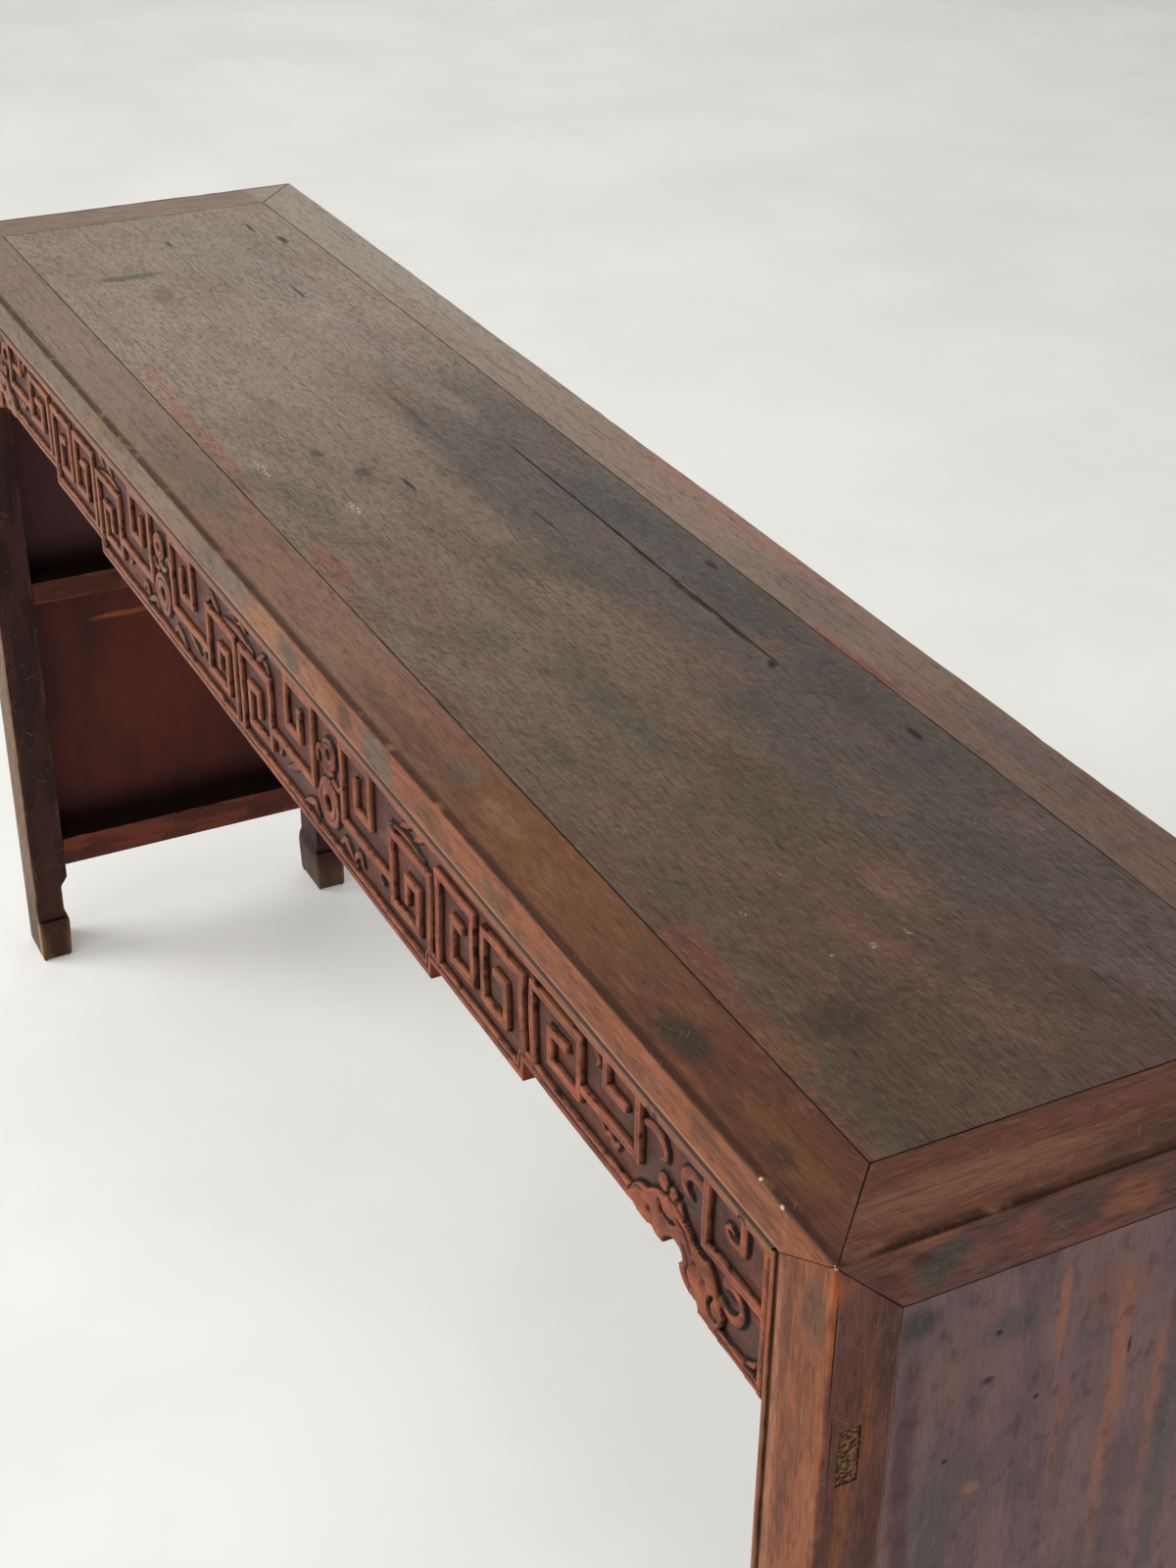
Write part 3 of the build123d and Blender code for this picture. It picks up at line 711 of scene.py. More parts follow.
def arris_lines(finish, colour, up, upper, end):
    """Painted shade on and beside the rounded arris round the top, and the chipped joint of the panels."""
    x, y, z = finish.x, finish.y, finish.z
    rise = finish.split(finish.add("ShaderNodeNewGeometry", {}, {}, "Normal"))[2]
    # painted shade on the rounding of the arris, and beside it on the top
    arris = rise.step(0.36, 0.6) * rise.step(0.985, 0.93) * z.step(852, 855)
    at_end = abs(x).step(HALF_L - 7, HALF_L - 5) * y.step(-172, -160)
    gaps = finish.noise(26, 3, 8).step(0.3, 0.46)
    colour = finish.mix(colour, paint(46, 30, 23), arris * (at_end * 0.5 + 0.4) * gaps)
    near_end = abs(x).step(HALF_L - 8, HALF_L - 4.6) * y.step(-172, -150)
    beside = up * upper * (y.step(FRONT + 8, FRONT + 4.4) + near_end)
    colour = finish.mix(colour, paint(52, 30, 20), beside * gaps * 0.8)
    chipped = end * abs(y).step(LEG_Y + 1.4, LEG_Y + 0.7) * z.step(806, 800)
    return finish.mix(colour, paint(150, 118, 102), chipped * gaps * 0.6)


def nose_lines(finish, colour):
    """A painted highlight along the front rail's nose, and painted shade in the cove below it."""
    z = finish.z
    in_cove = z.step(LONG_RAIL_Z - 1, LONG_RAIL_Z - 0.3) * finish.y.step(FRONT + 6, FRONT + 5)
    in_cove = in_cove * abs(finish.x).step(LEG_X + 1, LEG_X - 1)
    # the nose's painted highlight, then the cove's painted shade
    colour = finish.mix(colour, paint(172, 128, 98), z.step(NOSE_Z + 2.6, NOSE_Z + 1.6) * in_cove * 0.6)
    return finish.mix(colour, paint(60, 39, 25), z.step(NOSE_Z + 0.3, NOSE_Z - 0.5) * in_cove * 0.9)


def knocks(finish, colour, seed):
    """The worn corner, its chips and cracks, then scratches and specks all over."""
    for centre, size, strength in CORNER_WEAR:
        colour = finish.mix(colour, paint(172, 92, 54), finish.spot(centre, size, 0.8, 1.1) * strength)
    for centre, size in CHIPS:
        colour = finish.mix(colour, paint(212, 196, 172), finish.spot(centre, size, 0.6, 0.8) * 0.75)
    for centre, size in CORNER_CRACKS:
        colour = finish.mix(colour, SOOT_AND_SHADE, finish.spot(centre, size, 0.4, 0.5))
    for number, angle in enumerate((0.4, -0.8)):
        for plane in ("x", "z"):
            marks = finish.scratches(seed + number, angle, plane)
            colour = finish.mix(colour, paint(164, 132, 106), marks * 0.35)
    return finish.mix(colour, paint(196, 176, 150), finish.specks(34, 0.9, seed) * 0.5)


print("nose of the front rail from z", NOSE_Z)

# %% [markdown]
# Now the recipe can be put together: first each face's own colour, then spots and fibre, then rubbed
# arrises, lines and knocks, and dirt in the joints last of all. It is made three times, once for each
# direction in which the wood can run.

# %% Finish of frame and legs
def frame_finish(along):
    """The recipe for members whose wood runs along one axis."""
    finish = AgedFinish(f"frame_lacquer_{along}")
    seed = 1 + 10 * AXES[along]
    stretch, short = [22.0] * 3, [5.0] * 3
    stretch[AXES[along]], short[AXES[along]] = 90.0, 16.0
    cloud = finish.noise(tuple(stretch), 5, seed)
    mottle = finish.noise(tuple(short), 4, seed + 2)
    pores, bands = finish.fibres(along, seed + 4)
    up, side, end = finish.facings()
    x, y, z = finish.x, finish.y, finish.z
    upper = z.step(*TOP_PART_Z)
    inside = inner_colour(finish, cloud, up)
    top = top_colour(finish)
    front = front_colour(finish, cloud)
    outer = end_colour(finish, cloud)
    colour = finish.mix(inside, top, up * upper)
    colour = finish.mix(colour, front, side * abs(y).step(HALF_D - 6, HALF_D - 4))
    colour = finish.mix(colour, outer, end * abs(x).step(HALF_L - 6, HALF_L - 4))
    colour = finish.mix(colour, paint(50, 34, 28), mottle.step(0.52, 0.7) * (0.4 - up * 0.14))
    shown = abs(y).step(HALF_D - 6, HALF_D - 4) + abs(x).step(HALF_L - 6, HALF_L - 4) + up * upper
    colour = finish.mix(colour, paint(156, 108, 78), mottle.step(0.46, 0.3) * 0.2 * shown)
    colour = finish.mix(paint(44, 28, 23), colour, pores * 0.36 + 0.64)
    colour = finish.mix(colour, paint(58, 38, 30), bands.step(0.54, 0.68) * 0.35)
    worn = finish.mark("edge") * finish.noise(24, 4, seed + 6).step(0.44, 0.62)  # rubbed arrises
    colour = finish.mix(colour, paint(164, 112, 80), worn * 0.5)
    colour = finish.mix(colour, paint(188, 142, 88), finish.mark("edge") * z.step(64, 40) * 0.7)
    colour = arris_lines(finish, colour, up, upper, end)
    colour = nose_lines(finish, colour)
    colour = knocks(finish, colour, seed)
    corner = up * x.step(812, 826) * y.step(-152, -166)
    tight = finish.mark("seam") * (1 - side * z.step(831, 833) * 0.85) * (1 - corner * 0.6)  # tight in front
    colour = finish.mix(colour, SOOT_AND_SHADE, tight * (finish.noise(34, 3, 14).step(0.36, 0.56) * 0.5 + 0.5))
    roughness = 0.38 + mottle * 0.14 + (1 - pores) * 0.12
    height = pores * 0.5 + bands * 0.5 + mottle * 0.8
    return finish.close(colour, roughness, height, depth_mm=0.22, coat=0.03)


frame_lacquer = {axis: frame_finish(axis) for axis in AXES}
for material in frame_lacquer.values():
    print(material.name, len(material.node_tree.nodes), "nodes")

# %% [markdown]
# ## Lacquer of the carving
#
# The carved apron carries four marks. `relief` is 0 on the sunk ground and 1 on top of a bar.
# `grime_and_shade` is high in the corners at the foot of a bar, where dirt and painted shade go, `edge` on
# the rubbed arrises, painted paler and partly as a painted highlight, and `lines` in the fine cuts, the
# border's groove and round the raised forms, dark with dirt and painted shade.
# Bars are rubbed to orange red on top, and the ground between them is a dull red brown.

# %% Finish of the apron
TOP_BORDER_Z = 806  # lower edge of the plain strip above the carving


def apron_finish():
    finish = AgedFinish("apron_lacquer")
    relief, grime_and_shade, edge, lines = (finish.mark(name) for name in ("relief", "grime_and_shade", "edge", "lines"))
    x, z = finish.x, finish.z
    cloud = finish.noise((46, 46, 24), 4, 3)
    mottle = finish.noise((9, 9, 6), 4, 5)
    pores, bands = finish.fibres("x", 8)
    ground = finish.mix(paint(104, 60, 48), paint(78, 48, 40), cloud.step(0.4, 0.6))
    ground = finish.mix(ground, paint(54, 31, 26), mottle.step(0.5, 0.7) * 0.6)
    # greenish grey patches on the ground: painted sheen
    ground = finish.mix(ground, paint(78, 66, 56), finish.noise(24, 3, 14).step(0.5, 0.64) * 0.5)
    top = finish.mix(paint(158, 84, 54), paint(120, 64, 46), cloud.step(0.36, 0.62))
    top = finish.mix(top, paint(88, 48, 38), finish.noise(13, 4, 15).step(0.5, 0.62) * 0.5)
    top = finish.mix(top, paint(142, 106, 88), x.step(300, -300) * 0.6)
    top = finish.mix(top, paint(86, 46, 37), mottle.step(0.52, 0.7) * 0.6)
    # up a wall: black on the lower half, dirt and painted shade, then lacquer that is pale in some places,
    # partly a painted highlight, and dark in others
    wall = finish.mix(paint(146, 84, 58), paint(58, 31, 23), finish.noise(20, 2, 12).step(0.42, 0.58))
    colour = finish.mix(ground, SOOT_AND_SHADE, relief.step(0.02, 0.06))
    colour = finish.mix(colour, wall, relief.step(0.52, 0.62))
    colour = finish.mix(colour, top, relief.step(0.83, 0.9))
    # dirt and painted shade in the corners at the foot of the bars
    colour = finish.mix(colour, SOOT_AND_SHADE, grime_and_shade * relief.step(0.24, 0.08) * 0.9)
    # a paler band along the plain strip, then painted shadow under the overhang of the rail
    colour = finish.mix(colour, paint(136, 98, 74), z.step(TOP_BORDER_Z + 1.6, TOP_BORDER_Z + 2.4) * 0.7)
    colour = finish.mix(colour, paint(58, 36, 23), z.step(TOP_BORDER_Z + 5.4, TOP_BORDER_Z + 7) * 0.95)
    colour = finish.mix(paint(52, 26, 22), colour, pores * 0.35 + 0.65)
    colour = finish.mix(colour, paint(60, 34, 28), bands.step(0.54, 0.68) * 0.3)
    # rubbed arrises, painted paler: wear, and partly a painted highlight
    worn = edge * finish.noise(9, 3, 6).step(0.32, 0.52)
    colour = finish.mix(colour, paint(190, 120, 86), worn * 0.5)
    # dark lines in the cuts, the border's groove and round the raised forms: dirt and painted shade
    colour = finish.mix(colour, SOOT_AND_SHADE, lines * 0.92)
    # the tenons' end grain on the outer faces of the legs was never lacquered
    torn = finish.noise((6, 3, 2), 3, 11).step(0.4, 0.56)
    splinters = finish.mix(paint(140, 98, 62), paint(62, 42, 29), torn)
    colour = finish.mix(colour, splinters, abs(x).step(HALF_L - 5, HALF_L - 4))
    roughness = 0.4 + mottle * 0.2
    height = pores * 0.4 + bands * 0.4 + mottle
    return finish.close(colour, roughness, height, depth_mm=0.2, coat=0.02)


apron_lacquer = apron_finish()
print("apron finish:", len(apron_lacquer.node_tree.nodes), "nodes")

# %% [markdown]
# ## Lacquer of the end panels, and bare wood
#
# The panels are dark: purple brown outside, with upright rubbed streaks where chairs and knees have
# passed, and maroon on the sheltered inner side, darkened there as painted shade. Battens, wedges and
# tenon ends were never lacquered.

# %% Stains on the panels
PANEL_STAINS = laid("x", HALF_L, 20, [  # y, z, half widths, paint and strength
    (-139, 640, 8, 170, (92, 60, 66), 0.8),
    (-122, 640, 14, 90, (92, 86, 82), 0.8),
    (-138, 806, 14, 10, (66, 64, 60), 0.8),
    (-86, 782, 26, 14, (88, 82, 78), 0.7),
    (-116, 752, 7, 24, (138, 98, 88), 0.6),
    (-94, 792, 8, 8, (132, 88, 86), 0.5),
    (-51, 776, 3.5, 34, (166, 106, 84), 0.85),
    (-44, 690, 4, 50, (148, 98, 84), 0.6),
    (-18, 778, 22, 24, (142, 94, 84), 0.6),
    (-10, 700, 6, 110, (162, 104, 84), 0.85),
    (-26, 700, 3, 60, (134, 96, 88), 0.6),
    (18, 690, 5, 60, (152, 100, 82), 0.8),
    (32, 640, 8, 200, (92, 88, 84), 0.7),
    (60, 660, 10, 90, (138, 92, 78), 0.5),
    (96, 700, 7, 120, (96, 70, 72), 0.6),
    (-96, 676, 6, 5, (160, 112, 82), 0.7),
    (-60, 560, 60, 26, (132, 92, 84), 0.5),
    (20, 300, 90, 60, (84, 74, 74), 0.6),
    (-70, 360, 9, 90, (150, 100, 80), 0.6),
])
INNER_STAINS = laid("x", -PANEL_X, 9, [
    (-20, 320, 70, 120, (104, 42, 31), 0.6),
    (-46, 404, 42, 3.6, (150, 84, 52), 0.85),
])
DENTS = laid("x", HALF_L, 9, [
    (-93, 749, 4, 3), (-90, 779, 2.5, 2.5), (-61, 724, 2, 2), (-114, 703, 2, 2), (-4, 734, 1.2, 7),
])
print("stains on the panels:", len(PANEL_STAINS) + len(INNER_STAINS), "dents:", len(DENTS))

# %% [markdown]
# A panel has two very different sides, and the mesh is one closed block. So the recipe looks at how far
# out a point lies: on the outer face it shows streaks and scratches, and on the inner one plain maroon,
# darkened as painted shade, with dust and painted shade above the rails.

# %% Finish of the panels
def panel_finish():
    finish = AgedFinish("panel_lacquer")
    cloud = finish.noise((60, 40, 110), 5, 2)
    mottle = finish.noise((9, 9, 16), 4, 4)
    pores, bands = finish.fibres("z", 6)
    outer = abs(finish.x).step(HALF_L - 3, HALF_L - 1)
    outside = finish.mix(paint(130, 98, 97), paint(108, 87, 88), cloud.step(0.42, 0.6))
    # dark maroon on the inner side: partly painted shade
    inside = finish.mix(paint(84, 34, 27), paint(66, 29, 24), cloud.step(0.3, 0.7))
    inside = finish.mix(inside, paint(72, 44, 44), finish.z.step(470, 500) * 0.8)
    inside = finish.stains(inside, INNER_STAINS)
    for _, shelf in RAIL_Z.values():  # dust and painted shade on the panel above each rail
        above = finish.z.step(shelf + 46, shelf) * finish.z.step(shelf - 3, shelf)
        inside = finish.mix(inside, SOOT_AND_SHADE, above * 0.8)
    colour = finish.mix(inside, finish.stains(outside, PANEL_STAINS), outer)
    colour = finish.mix(colour, paint(62, 46, 48), mottle.step(0.52, 0.7) * (outer * 0.2 + 0.2))
    colour = finish.mix(colour, paint(150, 118, 108), mottle.step(0.46, 0.3) * 0.2 * outer)
    colour = finish.mix(paint(50, 34, 34), colour, pores * 0.2 + 0.8)
    colour = finish.mix(colour, paint(62, 46, 46), bands.step(0.54, 0.68) * 0.14)
    for centre, size in DENTS:
        colour = finish.mix(colour, SOOT_AND_SHADE, finish.spot(centre, size, 0.6, 0.7) * 0.8)
    colour = finish.mix(colour, paint(40, 34, 34), finish.specks(70, 1.6, 4) * 0.7)
    for number, angle in enumerate((0.9, -0.5, 0.1)):
        marks = finish.scratches(7 + number, angle, "x")
        colour = finish.mix(colour, paint(164, 132, 122), marks * 0.3 * outer)
    # the joint with the legs has chipped to a pale line, the one with the rails is dark
    joint = finish.mix(SOOT_AND_SHADE, paint(140, 110, 96), abs(finish.y).step(LEG_Y - 1.4, LEG_Y - 0.4) * outer)
    colour = finish.mix(colour, joint, finish.mark("seam"))
    roughness = 0.36 + mottle * 0.18
    height = pores * 0.4 + bands * 0.4 + mottle
    return finish.close(colour, roughness, height, depth_mm=0.25, coat=0.06)


panel_lacquer = panel_finish()
print("panel finish:", len(panel_lacquer.node_tree.nodes), "nodes")

# %% [markdown]
# Battens and wedges were never meant to be seen. They have no film, only open pores, broad bands of
# growth and a rough, matt surface.

# %% Finish of bare wood
def bare_finish():
    finish = AgedFinish("bare_wood")
    cloud = finish.noise(50, 4, 2)
    pores, bands = finish.fibres("y", 3)
    colour = finish.mix(paint(128, 98, 68), paint(92, 66, 46), cloud.step(0.36, 0.64))
    colour = finish.mix(paint(62, 42, 28), colour, pores * 0.5 + 0.5)
    colour = finish.mix(colour, paint(70, 50, 36), bands.step(0.5, 0.66) * 0.5)
    return finish.close(colour, 0.75 - bands * 0.1, pores + bands, depth_mm=0.4)


bare_wood = bare_finish()
print("materials so far:", len(bpy.data.materials))

# %% [markdown]
# ## Long members with worn arrises
#
# A rail or a leg is a section drawn across the wood and carried along it. We could take the solid and
# bevel it, but an old arris isn't an even bevel: it is rubbed wide in one place and nearly sharp in the
# next. So each member is a loft of many rings, and every ring rounds its corners by its own amount.
# The ends lie on the mitre planes, so the point of each line is worked out from its place in the section.

# %% Rounded sections
ARC_POINTS = 5  # points on one rounded corner
SKIN = 0.5  # the first point of a flat lies this far from the rounding, in millimetres
FLAT_STEP = 13  # distance between points on a wide flat


def waver(places, size, seed):
    """A smooth random number, about -1 to 1, for each place along a line."""
    return np.array([noise.noise((p / size, seed * 7.31, 0.37)) for p in places]) * 1.7


def flat_shares(length):
    """Where the points lie along a flat side, as shares of its length."""
    margin = 3  # the second point of a flat lies this far in, so a shorter flat has no points
    if length < margin:
        return []
    if length < 3 * margin:
        return [SKIN / length, 0.5, 1 - SKIN / length]
    inner = np.linspace(margin / length, 1 - margin / length, max(2, round(length / FLAT_STEP)))
    return [SKIN / length, *inner, 1 - SKIN / length]


def rounded(corners, radii, worn, joint):
    """Round the corners of a stack of closed outlines, and say where each is worn or a joint."""
    before = np.roll(corners, 1, axis=1) - corners
    after = np.roll(corners, -1, axis=1) - corners
    before /= np.linalg.norm(before, axis=2, keepdims=True)
    after /= np.linalg.norm(after, axis=2, keepdims=True)
    starts = corners + before * radii[..., None]
    ends = corners + after * radii[..., None]
    points, edge, seam = [], [], []
    count = corners.shape[1]
    for i in range(count):
        for s in np.linspace(0, 1, ARC_POINTS):
            points.append((1 - s) ** 2 * starts[:, i] + 2 * s * (1 - s) * corners[:, i] + s**2 * ends[:, i])
            edge.append(worn[i])
            seam.append(joint[i])
        following = (i + 1) % count
        length = np.linalg.norm(corners[0, following] - corners[0, i]) - radii[0, i] - radii[0, following]
        shares = flat_shares(length)
        for n, share in enumerate(shares):
            points.append(ends[:, i] * (1 - share) + starts[:, following] * share)
            edge.append(0.7 * worn[i] if n == 0 else 0.7 * worn[following] if n == len(shares) - 1 else 0)
            seam.append(0)
    return np.stack(points, axis=1), np.array(edge), np.array(seam)


def inset(outlines, amounts):
    """Move every point of the outlines inwards, by one amount for each ring or each point."""
    along = np.roll(outlines, -1, axis=1) - np.roll(outlines, 1, axis=1)
    inward = np.stack([-along[..., 1], along[..., 0]], axis=2)
    inward /= np.maximum(np.linalg.norm(inward, axis=2, keepdims=True), 1e-9)
    return outlines + inward * amounts[..., None]


print("points on a 50 mm flat:", len(flat_shares(50)))

# %% [markdown]
# A mitre cuts a member at a slant, but most rings should stand square to the wood. The plan of rings
# changes from one to the other: the first ones copy the slanted end, the next ones straighten out step by
# step, and all others are square. Then two neighbouring rings are joined by a belt of four-sided faces.

# %% Rings and lofts
def ring_plan(start, end, step, extra=()):
    """Each ring's place as a * start + b * end + c. It follows the mitre at the ends, then is straight."""
    near = [0, 0.35, 0.9, 3]  # the first rings' distances from the end
    first, last = start.max() + near[-1] + 1, end.min() - near[-1] - 1
    middle = sorted({*np.linspace(first, last, round((last - first) / step) + 1), *extra})
    slant_start = max(1, round((start.max() - start.min()) / step))
    slant_end = max(1, round((end.max() - end.min()) / step))
    plan = [(1, 0, d) for d in near]
    for f in np.linspace(0, 1, slant_start + 1)[1:-1]:
        plan.append((1 - f, 0, (1 - f) * near[-1] + f * first))
    plan += [(0, 0, m) for m in middle]
    for f in np.linspace(1, 0, slant_end + 1)[1:-1]:
        plan.append((0, 1 - f, -(1 - f) * near[-1] + f * last))
    plan += [(0, 1, -d) for d in reversed(near)]
    return np.array(plan)


def loft(rings):
    """Join a stack of closed rings into one closed mesh: its points and its faces."""
    count, around = rings.shape[:2]
    faces = []
    for i in range(count - 1):
        for j in range(around):
            k = (j + 1) % around
            faces.append((i * around + j, i * around + k, (i + 1) * around + k, (i + 1) * around + j))
    faces.append(tuple(range(around)))
    faces.append(tuple(range((count - 1) * around, count * around)))
    return rings.reshape(-1, 3), faces


print("rings of a 300 mm member:", len(ring_plan(np.zeros(4), np.full(4, 300.0), 8)))

# %% [markdown]
# ## From points to pieces
#
# One function turns points into an object: it scales to metres, turns the faces outwards, stores the
# marks, gives the material, hides the solids that the piece stands for, and hangs it under the table's root.

# %% Helper that makes a piece
pieces = []
SHARP_ANGLE = 38  # degrees between two faces from which their edge is shaded sharp
CORNER_RADII = [(1, -1, 2.5), (1, 1, 5), (-1, -1, 6), (-1, 1, 8)]  # side in x, side in y, radius


def round_corners(points):
    """Round the table's four corners as seen from above, most where it has been knocked most."""
    for side_x, side_y, radius in CORNER_RADII:
        out = points[:, :2] * (side_x, side_y) - (HALF_L - radius, HALF_D - radius)
        far = np.linalg.norm(out, axis=1)
        beyond = (out > 0).all(axis=1) & (far > radius)
        shrunk = out[beyond] * (radius / far[beyond])[:, None] + (HALF_L - radius, HALF_D - radius)
        points[beyond, :2] = shrunk * (side_x, side_y)
    return points


def make(name, points, faces, material, nodes, marks):
    """A new mesh object that stands for one or more of the solids."""
    limit = np.array([HALF_L, HALF_D, HEIGHT])
    points = round_corners(np.clip(points, -limit, limit))
    points[:, 2] = np.maximum(points[:, 2], 0)
    mesh = bpy.data.meshes.new(name)
    mesh.from_pydata((points * MM).tolist(), [], [list(map(int, face)) for face in faces])
    shape = bmesh.new()
    shape.from_mesh(mesh)
    bmesh.ops.recalc_face_normals(shape, faces=shape.faces)
    shape.to_mesh(mesh)
    shape.free()
    for key, values in marks.items():
        layer = mesh.attributes.new(key, "FLOAT", "POINT")
        layer.data.foreach_set("value", np.asarray(values, np.float32))
    mesh.shade_smooth()
    mesh.set_sharp_from_angle(angle=math.radians(SHARP_ANGLE))
    mesh.materials.append(material)
    piece = bpy.data.objects.new(name, mesh)
    scene.collection.objects.link(piece)
    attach(piece, "root")
    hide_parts(*nodes)
    pieces.append(piece)
    return piece


def mirrored(points, side):
    """The same points, or their mirror image at the other end of the table."""
    return points * np.array([side, 1, 1])


print("piece helper ready")

# %% [markdown]
# ## The frame of the top
#
# Four rails meet in mitres that show on the top and again on the outer faces. Each line of a rail ends
# where it first meets one of those two mitre planes. The front rail has a small moulding along its
# lower edge: a rounded nose, and under it a shadow groove.

# %% A member between two planes
RAIL_STEP = 8  # distance between rings along a rail
WEAR_WAVES = (95, 24)  # lengths of the slow and the quick change of an arris's rounding
SWAY_WAVE = 55  # length of the faces' slight unevenness


def wear_radii(base, spread, places, seed):
    """A rounding for each ring and corner: it wavers along the wood and has a few knocks."""
    rng = np.random.default_rng(int(seed))
    radii = np.empty((len(places), len(base)))
    for k, (radius, amount) in enumerate(zip(base, spread)):
        slow, quick = (waver(places, wave, seed + more + k) for wave, more in zip(WEAR_WAVES, (0, 40)))
        radii[:, k] = radius * (1 + amount * (0.7 * slow + 0.3 * quick))
        if radius > 2:  # knocks along the exposed arrises
            for _ in range(6):
                centre, width = rng.uniform(places.min(), places.max()), rng.uniform(5, 11)
                radii[:, k] += rng.uniform(0.3, 1.4) * np.exp(-(((places - centre) / width) ** 2))
        radii[:, k] = np.maximum(radii[:, k], 0.4 * radius)
    return radii


def member(corners, radii, start_of, end_of, seed, step=RAIL_STEP, extra=(), shape=None, foot=0.5):
    """Loft a section along a member between two end planes. Gives rings as (across, across, along).

    radii has four numbers for each corner: its rounding, how much that wavers, and how far the corner
    is worn and dirty.
    """
    corners = np.array(corners, float)
    base, spread, worn, joint = zip(*radii)
    start, end = (np.array([plane(a, b) for a, b in corners]) for plane in (start_of, end_of))
    plan = ring_plan(start, end, step, extra)
    nominal = plan @ np.array([start.mean(), end.mean(), 1])
    outlines = np.repeat(corners[None], len(plan), axis=0)
    if shape:
        outlines = shape(outlines, nominal)
    outlines, edge, seam = rounded(outlines, wear_radii(base, spread, nominal, seed), worn, joint)
    sway = np.array([waver(nominal, SWAY_WAVE, seed + 60 + j // 6) for j in range(outlines.shape[1])]).T
    amounts = 0.1 + 0.12 * sway
    amounts[-1] += 0.5
    amounts[:4] += foot * np.array([1, 0.66, 0.42, 0.12])[:, None]  # rounds the first end
    outlines = inset(outlines, np.maximum(amounts, 0))
    ends = [np.array([[plane(a, b) for a, b in ring] for ring in outlines]) for plane in (start_of, end_of)]
    along = plan[:, :1] * ends[0] + plan[:, 1:2] * ends[1] + plan[:, 2:]
    ring_seam = np.zeros(len(plan))
    ring_seam[[0, 1, -2, -1]] = 1
    seams = np.maximum(ring_seam[:, None], seam[None])
    edges = np.repeat(edge[None], len(plan), axis=0)
    return np.dstack([outlines, along]), {"edge": edges.ravel(), "seam": seams.ravel()}


print("member helper ready")

# %% [markdown]
# The long rails carry the boards and take the legs' tenons. Their sections differ, as the front one has
# the nose and groove and the back one is plain, but both end alike. So one function makes them, and the
# end plane is worked out for every line of the section: it runs up the mitre with the leg until it meets
# the mitre seen from above.

# %% Long rails of the top
def long_rail_end(opening):
    """Where a line of a long rail ends: at the mitre seen from above, or at the mitre with the leg."""
    def plane(y, z):
        seen_from_above = HALF_L - (HALF_D - abs(y)) * (HALF_L - OPEN_X) / (HALF_D - abs(opening))
        seen_from_front = LEG_X + (z - LONG_RAIL_Z) * (HALF_L - LEG_X) / (HEIGHT - LONG_RAIL_Z)
        return min(seen_from_above, seen_from_front, HALF_L)
    return plane


def make_long_rail(name, corners, radii, opening, seed):
    """A rail along the table, the same at both ends."""
    plane = long_rail_end(opening)
    rings, marks = member(corners, radii, lambda y, z: -plane(y, z), plane, seed)
    points, faces = loft(rings[..., [2, 0, 1]])
    lacquer = frame_lacquer["x"]
    make(f"worn_rail_{name}", points, faces, lacquer, [f"top_rail_{name}"], marks)


GROOVE_Y = FRONT + 2.5
front_section = [
    (OPEN_FRONT, LONG_RAIL_Z), (OPEN_FRONT, HEIGHT), (FRONT, HEIGHT),
    (FRONT, NOSE_Z), (GROOVE_Y, NOSE_Z - 1.2), (GROOVE_Y, LONG_RAIL_Z),
]
front_radii = [
    (1.5, 0.2, 0, 0), (0.6, 0.3, 0, 1), (3.6, 0.4, 0.4, 0), (1.6, 0.3, 1, 0), (0.4, 0.2, 0, 1),
    (0.5, 0.2, 0, 1),
]
make_long_rail("front", front_section, front_radii, OPEN_FRONT, 3)
back_section = [(HALF_D, LONG_RAIL_Z), (HALF_D, HEIGHT), (OPEN_BACK, HEIGHT), (OPEN_BACK, LONG_RAIL_Z)]
back_radii = [(2, 0.3, 0.4, 0), (3.2, 0.4, 0.5, 0), (0.6, 0.3, 0, 1), (1.5, 0.2, 0, 0)]
make_long_rail("back", back_section, back_radii, OPEN_BACK, 5)
print("long rails:", [(p.name, len(p.data.polygons)) for p in pieces])

# %% [markdown]
# The end rails close the frame. They are lofted along y in the same way, and the left one is the right
# one's mirror image but for its wear, as a joiner would cut the pair from one drawing.

# %% End rails of the top
def end_rail_front(x, z):
    """Where a line of an end rail ends in front: at the mitre seen from above or at the leg's."""
    seen_from_above = FRONT + (HALF_L - x) * (HALF_D + OPEN_FRONT) / (HALF_L - OPEN_X)
    seen_from_end = -LEG_Y - (z - END_RAIL_Z) * (HALF_D - LEG_Y) / (HEIGHT - END_RAIL_Z)
    return max(seen_from_above, seen_from_end, FRONT)


def end_rail_back(x, z):
    """Where it ends at the back."""
    seen_from_above = HALF_D - (HALF_L - x) * (HALF_D - OPEN_BACK) / (HALF_L - OPEN_X)
    seen_from_end = LEG_Y + (z - END_RAIL_Z) * (HALF_D - LEG_Y) / (HEIGHT - END_RAIL_Z)
    return min(seen_from_above, seen_from_end, HALF_D)


end_section = [(HALF_L, END_RAIL_Z), (HALF_L, HEIGHT), (OPEN_X, HEIGHT), (OPEN_X, END_RAIL_Z)]
end_radii = [(0.5, 0.3, 0, 1), (3.2, 0.4, 0.4, 0), (0.6, 0.3, 0, 1), (1.5, 0.2, 0, 0)]
for side, name in ((1, "right"), (-1, "left")):
    rings, marks = member(end_section, end_radii, end_rail_front, end_rail_back, 8 - side)
    points, faces = loft(rings[..., [0, 2, 1]])
    points, nodes = mirrored(points, side), [f"top_rail_end_{name}"]
    make(f"worn_rail_end_{name}", points, faces, frame_lacquer["y"], nodes, marks)
print("rails:", [(p.name, len(p.data.polygons)) for p in pieces])

